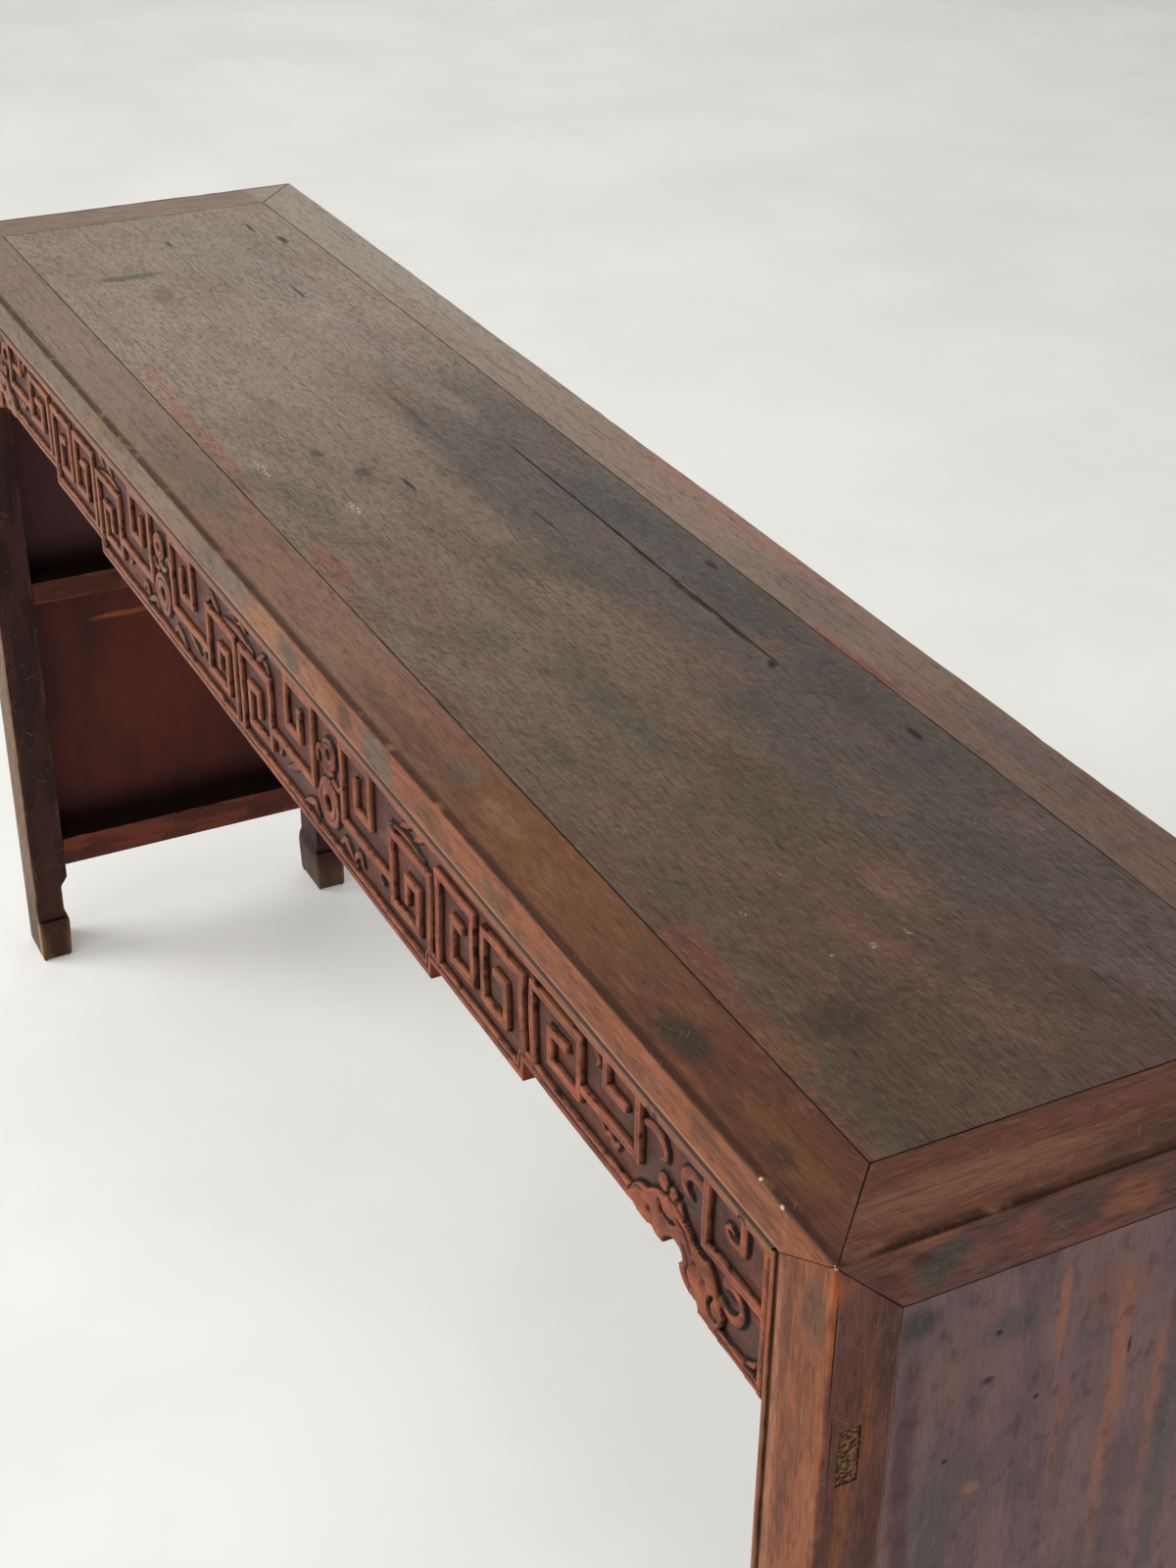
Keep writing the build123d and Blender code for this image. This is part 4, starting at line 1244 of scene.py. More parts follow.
# %% [markdown]
# ## The legs
#
# A leg is nearly square. Its foot is a little wider on the inner side, and above the foot the back of
# the leg is scooped out, like a hoof. The front legs carry a bead and a groove along their inner front
# arris, which the apron's edge runs into. The outer corner has lost the most lacquer of all.

# %% Shape of a leg
FOOT_HEIGHT = 52
NECK_CUT = 8  # depth of the scoop above the foot
SCOOP = [  # height, and how far the back of the leg lies in front of its plane there
    (0, 6), (30, 4.6), (44, 4), (50, 4.3), (55, 5.6), (60, NECK_CUT), (92, NECK_CUT), (96, 6.4), (100, 3),
    (104, 0.4), (107, 0),
]
LEG_LEVELS = [FOOT_HEIGHT - 0.5, FOOT_HEIGHT + 0.5, *[z for z, _ in SCOOP[1:]]]
LEG_STEP = 7  # distance between rings up a leg


def leg_shape(outlines, heights):
    """Widen the foot, scoop the neck and leave the rest of the leg as it is."""
    outlines = outlines.copy()
    foot = FOOT_STEP * (heights < FOOT_HEIGHT)
    scoop = np.interp(heights, *zip(*SCOOP))
    inner = outlines[0, :, 0] < LEG_X + 12
    outlines[:, inner, 0] -= foot[:, None]
    back = outlines[0, :, 1] > -LEG_Y - 1
    outlines[:, back, 1] -= scoop[:, None]
    return outlines


def leg_top(x, y):
    """The highest point of a leg's line: under the long rail's mitre or under the end rail's."""
    mitre_x = HALF_L - (y - FRONT) * (HALF_L - OPEN_X) / (HALF_D + OPEN_FRONT)
    if x < mitre_x - 0.01:
        return LONG_RAIL_Z + max(0, x - LEG_X) * (HEIGHT - LONG_RAIL_Z) / (HALF_L - LEG_X)
    return END_RAIL_Z + min(HALF_D - LEG_Y, -LEG_Y - y) * (HEIGHT - END_RAIL_Z) / (HALF_D - LEG_Y)


print("rings at the foot and neck:", len(LEG_LEVELS))

# %% [markdown]
# All four legs come from one section. The front ones get four more corners for the bead and its groove.
# The other legs are mirror images, but each has its own random wear, so that no two arrises are the same.

# %% Make the legs
plain_leg = [(HALF_L, FRONT), (HALF_L, -LEG_Y), (LEG_X, -LEG_Y), (LEG_X, FRONT)]
BEAD_X = LEG_X - 1.5  # the bead stands a little proud of the leg's inner face
beaded_leg = plain_leg[:3] + [
    (BEAD_X, FRONT), (BEAD_X + 4, FRONT), (BEAD_X + 4.6, FRONT + 1.7), (BEAD_X + 6, FRONT + 1.7),
    (BEAD_X + 8.2, FRONT),
]
leg_radii = [
    (2.4, 0.4, 0.8, 0), (0.7, 0.3, 0.25, 0), (1.6, 0.3, 0.2, 0), (1.2, 0.3, 0.3, 0), (1.2, 0.3, 0.5, 0),
    (0.35, 0.1, 0, 0.6), (0.4, 0.1, 0, 0.6), (1.6, 0.2, 1, 0),
]


def make_leg(side, front, seed):
    """One leg, drawn at the front right and mirrored to its own place."""
    corners = beaded_leg if front else plain_leg
    rings, marks = member(
        corners, leg_radii[: len(corners)], lambda x, y: 0.0, leg_top, seed, LEG_STEP, LEG_LEVELS, leg_shape,
        foot=4.0,
    )
    points, faces = loft(rings)
    points = mirrored(points, side)
    marks["seam"][points[:, 2] < 5] = 0
    if not front:
        points[:, 1] *= -1
    name = f"{'front' if front else 'back'}_{'right' if side > 0 else 'left'}"
    lacquer = frame_lacquer["z"]
    return make(f"worn_leg_{name}", points, faces, lacquer, [f"leg_{name}"], marks)


for number, (side, front) in enumerate(((1, True), (-1, True), (1, False), (-1, False))):
    leg = make_leg(side, front, 20 + number)
    print(leg.name, len(leg.data.polygons), "faces")

# %% [markdown]
# ## Boards, panels and lower rails
#
# These are flat blocks. A block is built as a grid on each of its six faces, with the outer lines close
# together so that the edges can be rounded, and then its faces are given a slight hand-planed sway.
# The joint between the two boards of the top has opened along part of its length.

# %% Blocks with gridded faces
def block(low, high, radius, step, sway, seed):
    """A rounded block: points, faces, and for each point whether it lies on a rounded edge."""
    low, high = np.array(low, float), np.array(high, float)
    near = [0, 0.35 * radius, radius, radius + SKIN, radius + 3.5]
    lines = []
    for a, b in zip(low, high):
        inner = np.linspace(a + near[-1], b - near[-1], max(2, round((b - a) / step)))[1:-1]
        lines.append(np.array([*(a + n for n in near), *inner, *(b - n for n in reversed(near))]))
    index, keys, faces = {}, [], []
    for axis in range(3):
        u, v = (other for other in range(3) if other != axis)
        for end in (0, len(lines[axis]) - 1):
            for i in range(len(lines[u]) - 1):
                for j in range(len(lines[v]) - 1):
                    face = []
                    for di, dj in ((0, 0), (1, 0), (1, 1), (0, 1)):
                        key = [0, 0, 0]
                        key[axis], key[u], key[v] = end, i + di, j + dj
                        key = tuple(key)
                        if key not in index:
                            index[key] = len(keys)
                            keys.append(key)
                        face.append(index[key])
                    faces.append(face)
    points = np.array([[lines[a][k] for a, k in enumerate(key)] for key in keys])
    core = np.clip(points, low + radius, high - radius)
    out = points - core
    rim = (np.abs(out) > 0.01 * radius).sum(axis=1) > 1
    reach = np.linalg.norm(out, axis=1, keepdims=True)
    points = core + out / np.maximum(reach, 1e-9) * radius
    hollow = np.array([noise.noise(Vector(p) / 70 + Vector((seed, 0, 0))) for p in points])
    normal = out / np.maximum(reach, 1e-9)
    points = points - normal * (sway * (0.5 + hollow[:, None])) * ~rim[:, None]
    return points, faces, rim.astype(float)


print("corners of a plain block:", len(block((0, 0, 0), (99, 99, 99), 1, 50, 0, 0)[0]))

# %% [markdown]
# The boards float in the frame, and they have shrunk apart between the two places called CRACK. There the
# edges step back by about half a millimetre and carry the dark mark of a joint. Elsewhere they meet.

# %% Boards of the top
TOP_Z = box_mm("top_board_front")[0][2]
BOARD_JOINT_Y = box_mm("top_board_front")[1][1]
CRACK = (-120, 335)  # the joint of the boards has opened between these places along the table
for name, away, y_low, y_high in (
    ("front", -1, OPEN_FRONT, BOARD_JOINT_Y), ("back", 1, BOARD_JOINT_Y, OPEN_BACK),
):
    low, high = (-OPEN_X, y_low, TOP_Z), (OPEN_X, y_high, HEIGHT)
    points, faces, rim = block(low, high, radius=0.6, step=26, sway=0.16, seed=3)
    beside = np.abs(points[:, 1] - BOARD_JOINT_Y) < 0.7
    opened = np.clip((points[:, 0] - CRACK[0]) / 60, 0, 1) * np.clip((CRACK[1] - points[:, 0]) / 20, 0, 1)
    points[:, 1] += away * beside * (0.6 * opened - 0.45 * (1 - opened))
    marks = {"seam": rim * np.where(beside, 0.25 + 0.75 * opened, 1)}
    nodes = [f"top_board_{name}"]
    piece = make(f"worn_board_{name}", points, faces, board_lacquer, nodes, marks)
    print(piece.name, len(piece.data.polygons), "faces")

# %% [markdown]
# Rails and panels lie flush outside, and on the inner side the rails stand forward of the panels. Each is
# a plain block, since all of its joinery is hidden. The back apron is a plain straight board between the
# back legs.

# %% End frames and the plain apron at the back
for side, end in ((1, "right"), (-1, "left")):
    for level, (z_low, z_high) in RAIL_Z.items():
        low, high = (END_RAIL_X, -LEG_Y, z_low), (HALF_L, LEG_Y, z_high)
        points, faces, rim = block(low, high, radius=0.9, step=22, sway=0.2, seed=z_low)
        inner = points[:, 0] < HALF_L - 5
        marks = {"edge": rim * inner, "seam": rim * ~inner * 0.8}
        points, name = mirrored(points, side), f"end_rail_{level}_{end}"
        make(f"worn_{name}", points, faces, frame_lacquer["y"], [name], marks)
    for level, (z_low, z_high) in PANEL_Z.items():
        low, high = (PANEL_X, -LEG_Y, z_low), (HALF_L, LEG_Y, z_high)
        points, faces, rim = block(low, high, radius=0.5, step=20, sway=0.35, seed=z_low)
        points, name = mirrored(points, side), f"end_panel_{level}_{end}"
        make(f"worn_{name}", points, faces, panel_lacquer, [name], {"seam": rim * 0.8})
low, high = (-LEG_X, APRON_BACK, box_mm("apron_back")[0][2]), (LEG_X, APRON_FACE, LONG_RAIL_Z)
points, faces, rim = block(low, high, radius=1.2, step=24, sway=0.3, seed=7)
make("worn_apron_back", points, faces, frame_lacquer["x"], ["apron_back"], {"edge": rim})
print("pieces so far:", len(pieces))

# %% [markdown]
# ## The carved apron
#
# The apron is one board whose lower edge climbs in two steps from the middle to a cloud-shaped bracket
# beside each leg. Its face is cut away 4 mm deep around square spirals, small leaves and curls.
#
# A carving like this could be modelled bar by bar, but bars that touch would have to be joined at every
# corner. A height map is simpler: each point of a fine grid gets the height of the highest thing that
# covers it, so bars and leaves merge as they do in wood. The grid lines lie half a millimetre off the
# bars' edges, which keeps the walls crisp.

# %% Arcs through three points
RELIEF = 4.0  # how far the carving stands above its ground


def arc(first, middle, last, count=9):
    """Points on the circle through three points."""
    (ax, az), (bx, bz), (cx, cz) = first, middle, last
    d = 2 * (ax * (bz - cz) + bx * (cz - az) + cx * (az - bz))
    a2, b2, c2 = ax**2 + az**2, bx**2 + bz**2, cx**2 + cz**2
    ox = (a2 * (bz - cz) + b2 * (cz - az) + c2 * (az - bz)) / d
    oz = (a2 * (cx - bx) + b2 * (ax - cx) + c2 * (bx - ax)) / d
    radius = math.hypot(ax - ox, az - oz)
    angles = [math.atan2(z - oz, x - ox) for x, z in (first, middle, last)]
    turn = (angles[2] - angles[0]) % (2 * math.pi)
    if (angles[1] - angles[0]) % (2 * math.pi) > turn:
        turn -= 2 * math.pi
    return [
        (ox + radius * math.cos(angles[0] + turn * s), oz + radius * math.sin(angles[0] + turn * s))
        for s in np.linspace(0, 1, count)
    ]


def arcs(*points):
    """A chain of three-point arcs: end, middle, end, middle, end."""
    chain = [points[0]]
    for i in range(0, len(points) - 2, 2):
        chain += arc(*points[i : i + 3])[1:]
    return chain


print("an arc of", len(arc((0, 0), (1, 1), (2, 0))), "points")

# %% [markdown]
# The lower edge is what makes the front recognisable: level in the middle, two small steps, and then the
# cloud bracket's lobes down to the leg. It is drawn once for the right half, with corners where the saw
# turned and arcs where the rasp followed.

# %% The lower edge as an outline
STEP_X = (360, 498)  # where the edge steps up
EDGE_Z = (705, 718, 732)  # its height in the middle and after each step
BRACKET_X = 637  # where the cloud bracket begins
TAIL_X = 712  # from here the edge falls slowly to the leg, with a narrower border
EDGE_Z_AT_LEG = 710
lower_edge = [
    (0, EDGE_Z[0]), (STEP_X[0], EDGE_Z[0]), (STEP_X[0], EDGE_Z[1]), (STEP_X[1], EDGE_Z[1]),
    (STEP_X[1], EDGE_Z[2]),
] + arcs(
    (BRACKET_X, EDGE_Z[2]), (648, 729.5), (660, 732), (667, 729.5), (673, 731), (679, 739.5), (689, 741),
    (693.5, 735.5), (690, 730), (697, 721), (707, 719),
) + [(TAIL_X - 1, 719), (TAIL_X, 713), (LEG_X, EDGE_Z_AT_LEG)]
print("points on the lower edge:", len(lower_edge))

# %% [markdown]
# The height map needs a grid of points over the right half, one millimetre apart, and the left half will
# be its mirror image. For every point we ask two things: whether it is on the board, and how far from the
# lower edge it lies. The first gives the outline and the second gives the border that follows it.

# %% Grid of the right half
xs = np.array([0, *np.arange(0.5, LEG_X, 1.0), LEG_X])
zs = np.array([*np.arange(EDGE_Z[0] - 0.5, TOP_BORDER_Z + 3, 1.0), 814, 820, LONG_RAIL_Z])
X, Z = np.meshgrid(xs, zs, indexing="ij")


def nearest_on(path, x, z):
    """For each grid point, the distance to a path and the closest point on it."""
    best = np.full(x.shape, 1e9)
    close_x, close_z = np.zeros(x.shape), np.zeros(x.shape)
    for (x1, z1), (x2, z2) in zip(path, path[1:]):
        dx, dz = x2 - x1, z2 - z1
        share = np.clip(((x - x1) * dx + (z - z1) * dz) / (dx * dx + dz * dz), 0, 1)
        px, pz = x1 + share * dx, z1 + share * dz
        far = np.hypot(x - px, z - pz)
        better = far < best
        best[better], close_x[better], close_z[better] = far[better], px[better], pz[better]
    return best, close_x, close_z


def inside(outline, x, z):
    """True where a point lies inside a closed outline."""
    hit = np.zeros(x.shape, bool)
    for (x1, z1), (x2, z2) in zip(outline, outline[1:] + outline[:1]):
        if z1 != z2:
            hit ^= ((z1 > z) != (z2 > z)) & (x < (x2 - x1) * (z - z1) / (z2 - z1) + x1)
    return hit


to_edge, edge_x, edge_z = nearest_on(lower_edge, X, Z)
board = inside(lower_edge + [(LEG_X + 1, EDGE_Z_AT_LEG), (LEG_X + 1, 900), (-1, 900), (-1, EDGE_Z[0])], X, Z)
print("grid:", X.shape, "points on the board:", int(board.sum()))

# %% [markdown]
# ### Bars, leaves and curls
#
# The square spirals are drawn as centre lines. A bar's height falls from 4 mm to nothing within one
# grid step of its edge. Leaves and curls are strokes through a few points, each with its own radius,
# and their sides are softer, as a gouge leaves them.

# %% Square spirals
MIRROR_X = 183  # the middle group of spirals is symmetrical about this line
PAIR_MIRROR_X = 434
MIDDLE_FRETS = [
    [(7, 709), (7, 782), (69, 782), (69, 728), (25, 728), (25, 760), (44, 760), (44, 742)],
    [(69, 743), (155, 743), (155, 803.5), (105, 803.5)],
    [(105, 803.5), (105, 765), (130, 765), (130, 786)],
]
PAIR_FRET = [(372, 722), (372, 793), (426, 793), (426, 743), (395, 743), (395, 772), (408, 772)]
OUTER_FRETS = [
    [(510, 737), (510, 797), (571, 797), (571, 757), (533, 757), (533, 779), (552, 779)],
    [(571, 765), (641, 765), (641, 806)],
    [(603, 806), (603, 788), (625, 788)],
    [(716, 806), (716, 763), (775, 763)],
]


def flipped(path, axis_x):
    """The same path on the other side of an upright line."""
    return [(2 * axis_x - x, *rest) for x, *rest in path]


frets = MIDDLE_FRETS + [flipped(path, MIRROR_X) for path in MIDDLE_FRETS]
frets += [PAIR_FRET, flipped(PAIR_FRET, PAIR_MIRROR_X)] + OUTER_FRETS


def bar_height(far):
    return np.interp(far, [0, 1.6, 2.5, 3.5, 4.6], [RELIEF, RELIEF, 3.7, 0.1, 0])


height = np.zeros(X.shape)
for path in frets:
    for (x1, z1), (x2, z2) in zip(path, path[1:]):
        beside_x = np.abs(X - np.clip(X, min(x1, x2), max(x1, x2)))
        beside_z = np.abs(Z - np.clip(Z, min(z1, z2), max(z1, z2)))
        height = np.maximum(height, bar_height(np.maximum(beside_x, beside_z)))
print("fret bars:", sum(len(path) - 1 for path in frets))

# %% [markdown]
# Small leaves, split curls and rolled scrolls fill the gaps between the spirals. Each is a line through
# two to eight points with its own thickness at each of them, like a stroke of a brush that is pressed and
# lifted. A scroll that closes on itself is a ring.

# %% Lines of the leaves and curls
RINGS = [  # x, z, middle radius and half width of the rolled scrolls between the spirals
    (187.5, 783, 8.0, 4.2), (184, 742, 12.4, 6.6),
]
STROKES = [  # each point is x, z and the stroke's radius there
    [(-34, 790, 0.8), (-18, 792, 2.4), (0, 793, 3.0), (18, 792, 2.4), (34, 790, 0.8)],
    [(3, 800, 1.2), (11, 804, 2.4), (20, 800, 1.2)],
    [(44, 790, 1.2), (51, 793, 2.6), (58, 798, 2.4), (63, 801, 1.2)],
    [(60, 796, 1.8), (66, 793, 2.4), (70, 788, 1.0)],
    [(82, 741, 2.2), (88, 737, 2.4), (85, 731, 1.4)],
    [(99, 728, 1.2), (108, 732, 2.6), (116, 736, 3.0), (124, 739, 1.4)],
    [(175, 769, 1.8), (183, 766, 3.2), (192, 770, 2.4)],
    [(164, 768, 1.6), (163.5, 777, 2.4), (169, 781, 2.2), (174, 777, 1.6)],
    [(192, 764, 2.6), (202, 762, 2.2), (207, 768, 1.4)],
    [(288, 741, 1.8), (280, 741.5, 2.4), (274, 736, 2.4), (280, 731.5, 1.8)],
    [(297, 790, 0.8), (322, 792, 2.6), (352, 789.5, 0.8)],
    [(315, 797, 1.4), (322, 801, 3.0), (331, 805, 1.8)],
    [(337, 798, 1.4), (343, 802, 3.0), (351, 805, 1.8)],
    [(591, 805, 1.6), (595, 800, 2.6), (592, 795, 1.4)],
    [(600, 760, 1.8), (604, 755.5, 2.6), (609, 758.5, 2.2), (614, 754, 2.8), (620, 758.5, 2.0)],
    [(650, 796, 3.0), (658, 799, 3.8), (666, 797.5, 4.0), (671, 792.5, 3.4), (671.5, 787, 2.6),
     (668, 784.5, 1.8)],
    [(655, 806, 2.6), (656, 806, 2.6)],  # lobes on its back
    [(662, 806.5, 2.4), (663, 806.5, 2.4)],
    [(714, 797, 3.2), (705, 798, 3.6), (697, 797, 4.2), (692, 791, 4.2), (693.5, 784.5, 3.6),
     (700, 782.5, 1.8)],
    [(753.5, 806, 3.8), (753.5, 789, 3.8), (748, 786.5, 2.6), (741, 787, 2.6), (737.5, 791, 2.2),
     (741, 793.5, 2.0), (745.5, 792, 1.4)],
    [(739, 754, 3.4), (742, 757, 4.4), (749, 756.5, 3.8), (755, 752, 3.2), (756, 745, 3.4), (751, 738.5, 3.6),
     (743, 737, 3.0), (735, 740.5, 2.4)],
    [(763, 721, 1.4), (769, 723.5, 2.2), (772, 728, 1.4)],
    [(669.5, 770.5, 5.4), (670, 770.5, 5.4)],  # lobes of a leaf
    [(680.5, 769.5, 5.0), (681, 769.5, 5.0)],
    [(688.5, 766.5, 4.4), (692, 764, 3.0)],
    [(229, 722, 1.8), (234, 729, 3.0), (240, 730, 2.2), (244, 724, 1.4)],
]
LEAF = [(133, 718, 1.2), (144, 723, 3.0), (155, 727, 3.0), (163, 721, 1.4)]
STROKES += [LEAF, flipped(LEAF, MIRROR_X)]
print("strokes:", len(STROKES), "scrolls:", len(RINGS))

# %% [markdown]
# A stroke needs three things: a smooth line through its points, how far past its edge each point of the
# grid lies, and a rounded side. The grid is large and a stroke is small, so the distances are worked out
# only in a window round each stroke.

# %% Helpers for strokes
def smooth_path(points, spacing=1.0):
    """A curve through the points, as closely spaced points. Each point may carry a radius."""
    points = np.array(points, float)
    padded = np.vstack([2 * points[0] - points[1], points, 2 * points[-1] - points[-2]])
    made = []
    for p0, p1, p2, p3 in zip(padded, padded[1:], padded[2:], padded[3:]):
        count = max(2, round(np.hypot(*(p2 - p1)[:2]) / spacing))
        for s in np.linspace(0, 1, count, endpoint=False):
            made.append(
                0.5 * (2 * p1 + (p2 - p0) * s + (2 * p0 - 5 * p1 + 4 * p2 - p3) * s**2
                       + (3 * p1 - p0 - 3 * p2 + p3) * s**3)
            )
    return np.array(made + [points[-1]])


def stroke_height(far_past_edge, top):
    """Rounded side of a stroke: distances past its edge are positive."""
    return top * np.interp(far_past_edge, [-3, -1.4, -0.5, 0.5, 1.2], [1, 0.97, 0.82, 0.16, 0])


def near_window(points, margin):
    """The part of the grid that a stroke can reach."""
    low, high = points[:, :2].min(0) - margin, points[:, :2].max(0) + margin
    i = slice(*np.searchsorted(xs, (low[0], high[0])))
    j = slice(*np.searchsorted(zs, (low[1], high[1])))
    return i, j


def past_edge(path, window):
    """How far each grid point of the window lies past the edge of a stroke."""
    x, z = X[window], Z[window]
    far = np.full(x.shape, 1e9)
    for px, pz, radius in path:
        far = np.minimum(far, np.hypot(x - px, z - pz) - radius)
    return far


def dirt_and_shade_line(far):
    """A dark line along the edge of a stroke, for dirt and painted shade: strongest just past the edge."""
    return np.interp(far, [-0.7, 0.1, 0.9, 1.9], [0, 1, 1, 0])


print("points on a leaf:", len(smooth_path(LEAF)))

# %% [markdown]
# A stroke raises the points near it, and a point that two strokes reach takes the higher of the two. The
# same distances also give the thin dark line that runs round the foot of each stroke: dirt and painted shade.

# %% Raise the leaves and curls
STROKE_TOP = 2.6  # curls and leaves are cut flatter than the bars
STROKE_SHIFT = (1.4, 1.5, 0)  # the strokes were drawn this far to the right of and above their places
lines, stroke_relief = np.zeros(X.shape), np.zeros(X.shape)
for stroke in STROKES:
    path = smooth_path(stroke) - STROKE_SHIFT
    window = near_window(path, 7)
    far = past_edge(path, window)
    height[window] = np.maximum(height[window], stroke_height(far, STROKE_TOP))
    stroke_relief[window] = np.maximum(stroke_relief[window], stroke_height(far, 1.0))
    lines[window] = np.maximum(lines[window], dirt_and_shade_line(far))
for x, z, radius, half in RINGS:
    far = np.abs(np.hypot(X - x, Z - z) - radius) - half
    height = np.maximum(height, stroke_height(far, 3.7))
    lines = np.maximum(lines, dirt_and_shade_line(far))
print("share of the grid that is raised:", round(float((height > 0).mean()), 2))

# %% [markdown]
# The bracket beside the leg is one large lobed form that lies over the border. Its upper outline is a
# chain of arcs again, and the sign of the distance to it says whether a point is in the cloud.

# %% Cloud bracket
cloud_top = arcs(
    (633, 739), (641, 749.5), (652, 753), (678, 764.5), (701, 758), (711, 751), (719, 753), (726, 747.5),
    (730, 741), (735, 736), (737, 729), (735, 722), (731, 717),
)
cloud = cloud_top + [(731, 700), (633, 700)]
to_cloud = nearest_on(cloud_top, X, Z)[0] * np.where(inside(cloud, X, Z), -1, 1)
cloud_rise = np.interp(to_cloud, [-3, -1.2, -0.4, 0.5, 1.1], [1, 0.97, 0.85, 0.1, 0])
height = np.maximum(height, RELIEF * cloud_rise)
lines = np.maximum(lines, dirt_and_shade_line(to_cloud) * (X < 730)) * (height < 3.3) * (to_edge > 3)
print("points of the grid in the cloud:", int((to_cloud < 0).sum()))

# %% [markdown]
# A narrow bead runs along the lower edge, with a groove behind it, and turns up beside the leg. Because it
# keeps its distance from the edge, it is one curve of height against distance, like a moulding's profile.

# %% Borders
BORDER = [  # distance from the lower edge, and the height of the border there
    (0, 2.6), (0.5, 3.5), (1.5, 4.0), (3.5, 4.0), (4.5, 3.6), (5.5, 2.4), (6.5, 3.6), (7.5, 3.7), (8.5, 3.4),
    (9.5, 0.2), (10.5, -0.5), (12.5, -0.1),
]
border_scale = np.where(X > TAIL_X, 0.72, 1.0)
border = np.interp(to_edge / border_scale, *zip(*BORDER), right=-0.1)
in_cloud = to_cloud < 1
edge_round = np.interp(to_edge, [0, 0.5, 1.5, 2.5], [2.2, 3.3, 3.9, RELIEF])
cloud_height = np.maximum(np.minimum(np.maximum(height, 0), edge_round), border * (X > 724))
height = np.where(in_cloud, cloud_height, np.maximum(height, border))
height = np.maximum(height, np.interp(Z, [TOP_BORDER_Z - 0.6, TOP_BORDER_Z + 0.5], [-1, RELIEF]))
END_BEAD_X = 774
height = np.maximum(height, np.interp(X, [END_BEAD_X - 0.5, END_BEAD_X + 0.5], [-1, RELIEF]))
# a dark line in the border's groove: dirt and painted shade
border_line = np.interp(to_edge / border_scale, [4.3, 5.1, 5.9, 6.7], [0, 1, 1, 0])
lines = np.maximum(lines, border_line * ~in_cloud)
print("highest point:", round(float(height.max()), 1), "mm")

# %% [markdown]
# Last the carver cuts fine lines into the raised forms, to part one lobe from the next. They are strokes
# like the leaves, but these lower the surface.

# %% Carved lines
CUTS = [  # lines cut into the bracket: x, z, radius at each point, and the depth
    ([(687, 758.5, 0.6), (696, 755, 0.8), (703, 747, 0.7)], 1.0),
    ([(667, 755.5, 1.6), (670, 751, 2.2), (677, 749.5, 2.2), (684, 752.5, 1.2)], 3.2),
    ([(636, 742, 0.6), (641, 747, 0.8), (648, 749, 0.7)], 1.0),
    ([(655, 741, 2.0), (656, 741, 2.0)], 2.2),
    ([(706, 742, 1.5), (707, 742, 1.4)], 2.4),
    ([(716, 738, 1.4), (717, 737, 1.3)], 2.4),
    ([(726.5, 735.5, 0.9), (723.5, 732, 1.4), (723.5, 727, 1.6), (727, 723, 1.5), (731.5, 723.5, 1.0)], 3.2),
    ([(694, 746, 0.8), (700, 739, 0.8), (698, 731, 0.8), (703, 724, 0.7)], 1.0),
    ([(675.5, 774, 0.9), (676, 768, 0.7)], 1.2),
    ([(685.5, 772, 0.9), (685, 767, 0.7)], 1.2),
    ([(735, 746, 0.9), (742, 745.5, 1.3), (748, 747, 0.9)], 1.6),
    ([(END_BEAD_X + 5.5, 712, 0.7), (END_BEAD_X + 5.5, 804, 0.7)], 1.4),
]
for points, depth in CUTS:
    path = smooth_path(points)
    window = near_window(path, 5)
    cut = np.interp(past_edge(path, window), [-1, 0, 1], [1, 0.7, 0])
    height[window] -= depth * cut
    lines[window] = np.maximum(lines[window], cut)
for x, z, radius, _ in RINGS:  # a fine line round each scroll
    cut = np.interp(np.abs(np.hypot(X - x, Z - z) - radius - 0.6), [0, 0.5, 1.3], [1, 0.7, 0])
    height -= 0.7 * cut
    lines = np.maximum(lines, 0.6 * cut)
print("carving from", round(float(height.min()), 1), "to", round(float(height.max()), 1), "mm")

# %% [markdown]
# ### From heights to a board
#
# Points just outside the lower edge are pulled onto it, so the outline is exact. Then the grid is
# wavered a little sideways, because no carver cuts a perfectly straight line, and the sheet is closed
# into a board 18 mm thick by pulling its rim back. The marks for the lacquer come from the heights:
# a point higher than its surroundings is an arris, and a lower one gets dirt and painted shade.

# %% Marks and places of the grid's points
def blurred(field, times):
    """Each point takes the mean of itself and its four neighbours, several times."""
    for _ in range(times):
        padded = np.pad(field, 1, mode="edge")
        field = (padded[:-2, 1:-1] + padded[2:, 1:-1] + padded[1:-1, :-2] + padded[1:-1, 2:] + field) / 5
    return field


def grid_sway(size, layer):
    """Smooth noise over the grid, about -1 to 1."""
    values = [noise.noise((x / size, layer, z / size)) for x, z in zip(X.ravel(), Z.ravel())]
    return np.array(values).reshape(X.shape)


OUTER_REACH = 0.76  # points up to this far outside the lower edge stay and are pulled onto it
INNER_REACH = 0.24  # and so are points on the board that lie this close to it
kept = board | (to_edge < OUTER_REACH)
snapped = (~board | (to_edge < INNER_REACH)) & kept & (X > 0.1) & (X < LEG_X - 0.1)
bulge = height - blurred(height, 3)
edge_mark = np.clip((bulge - 0.25) / 0.8, 0, 1) * (height > 2.4)
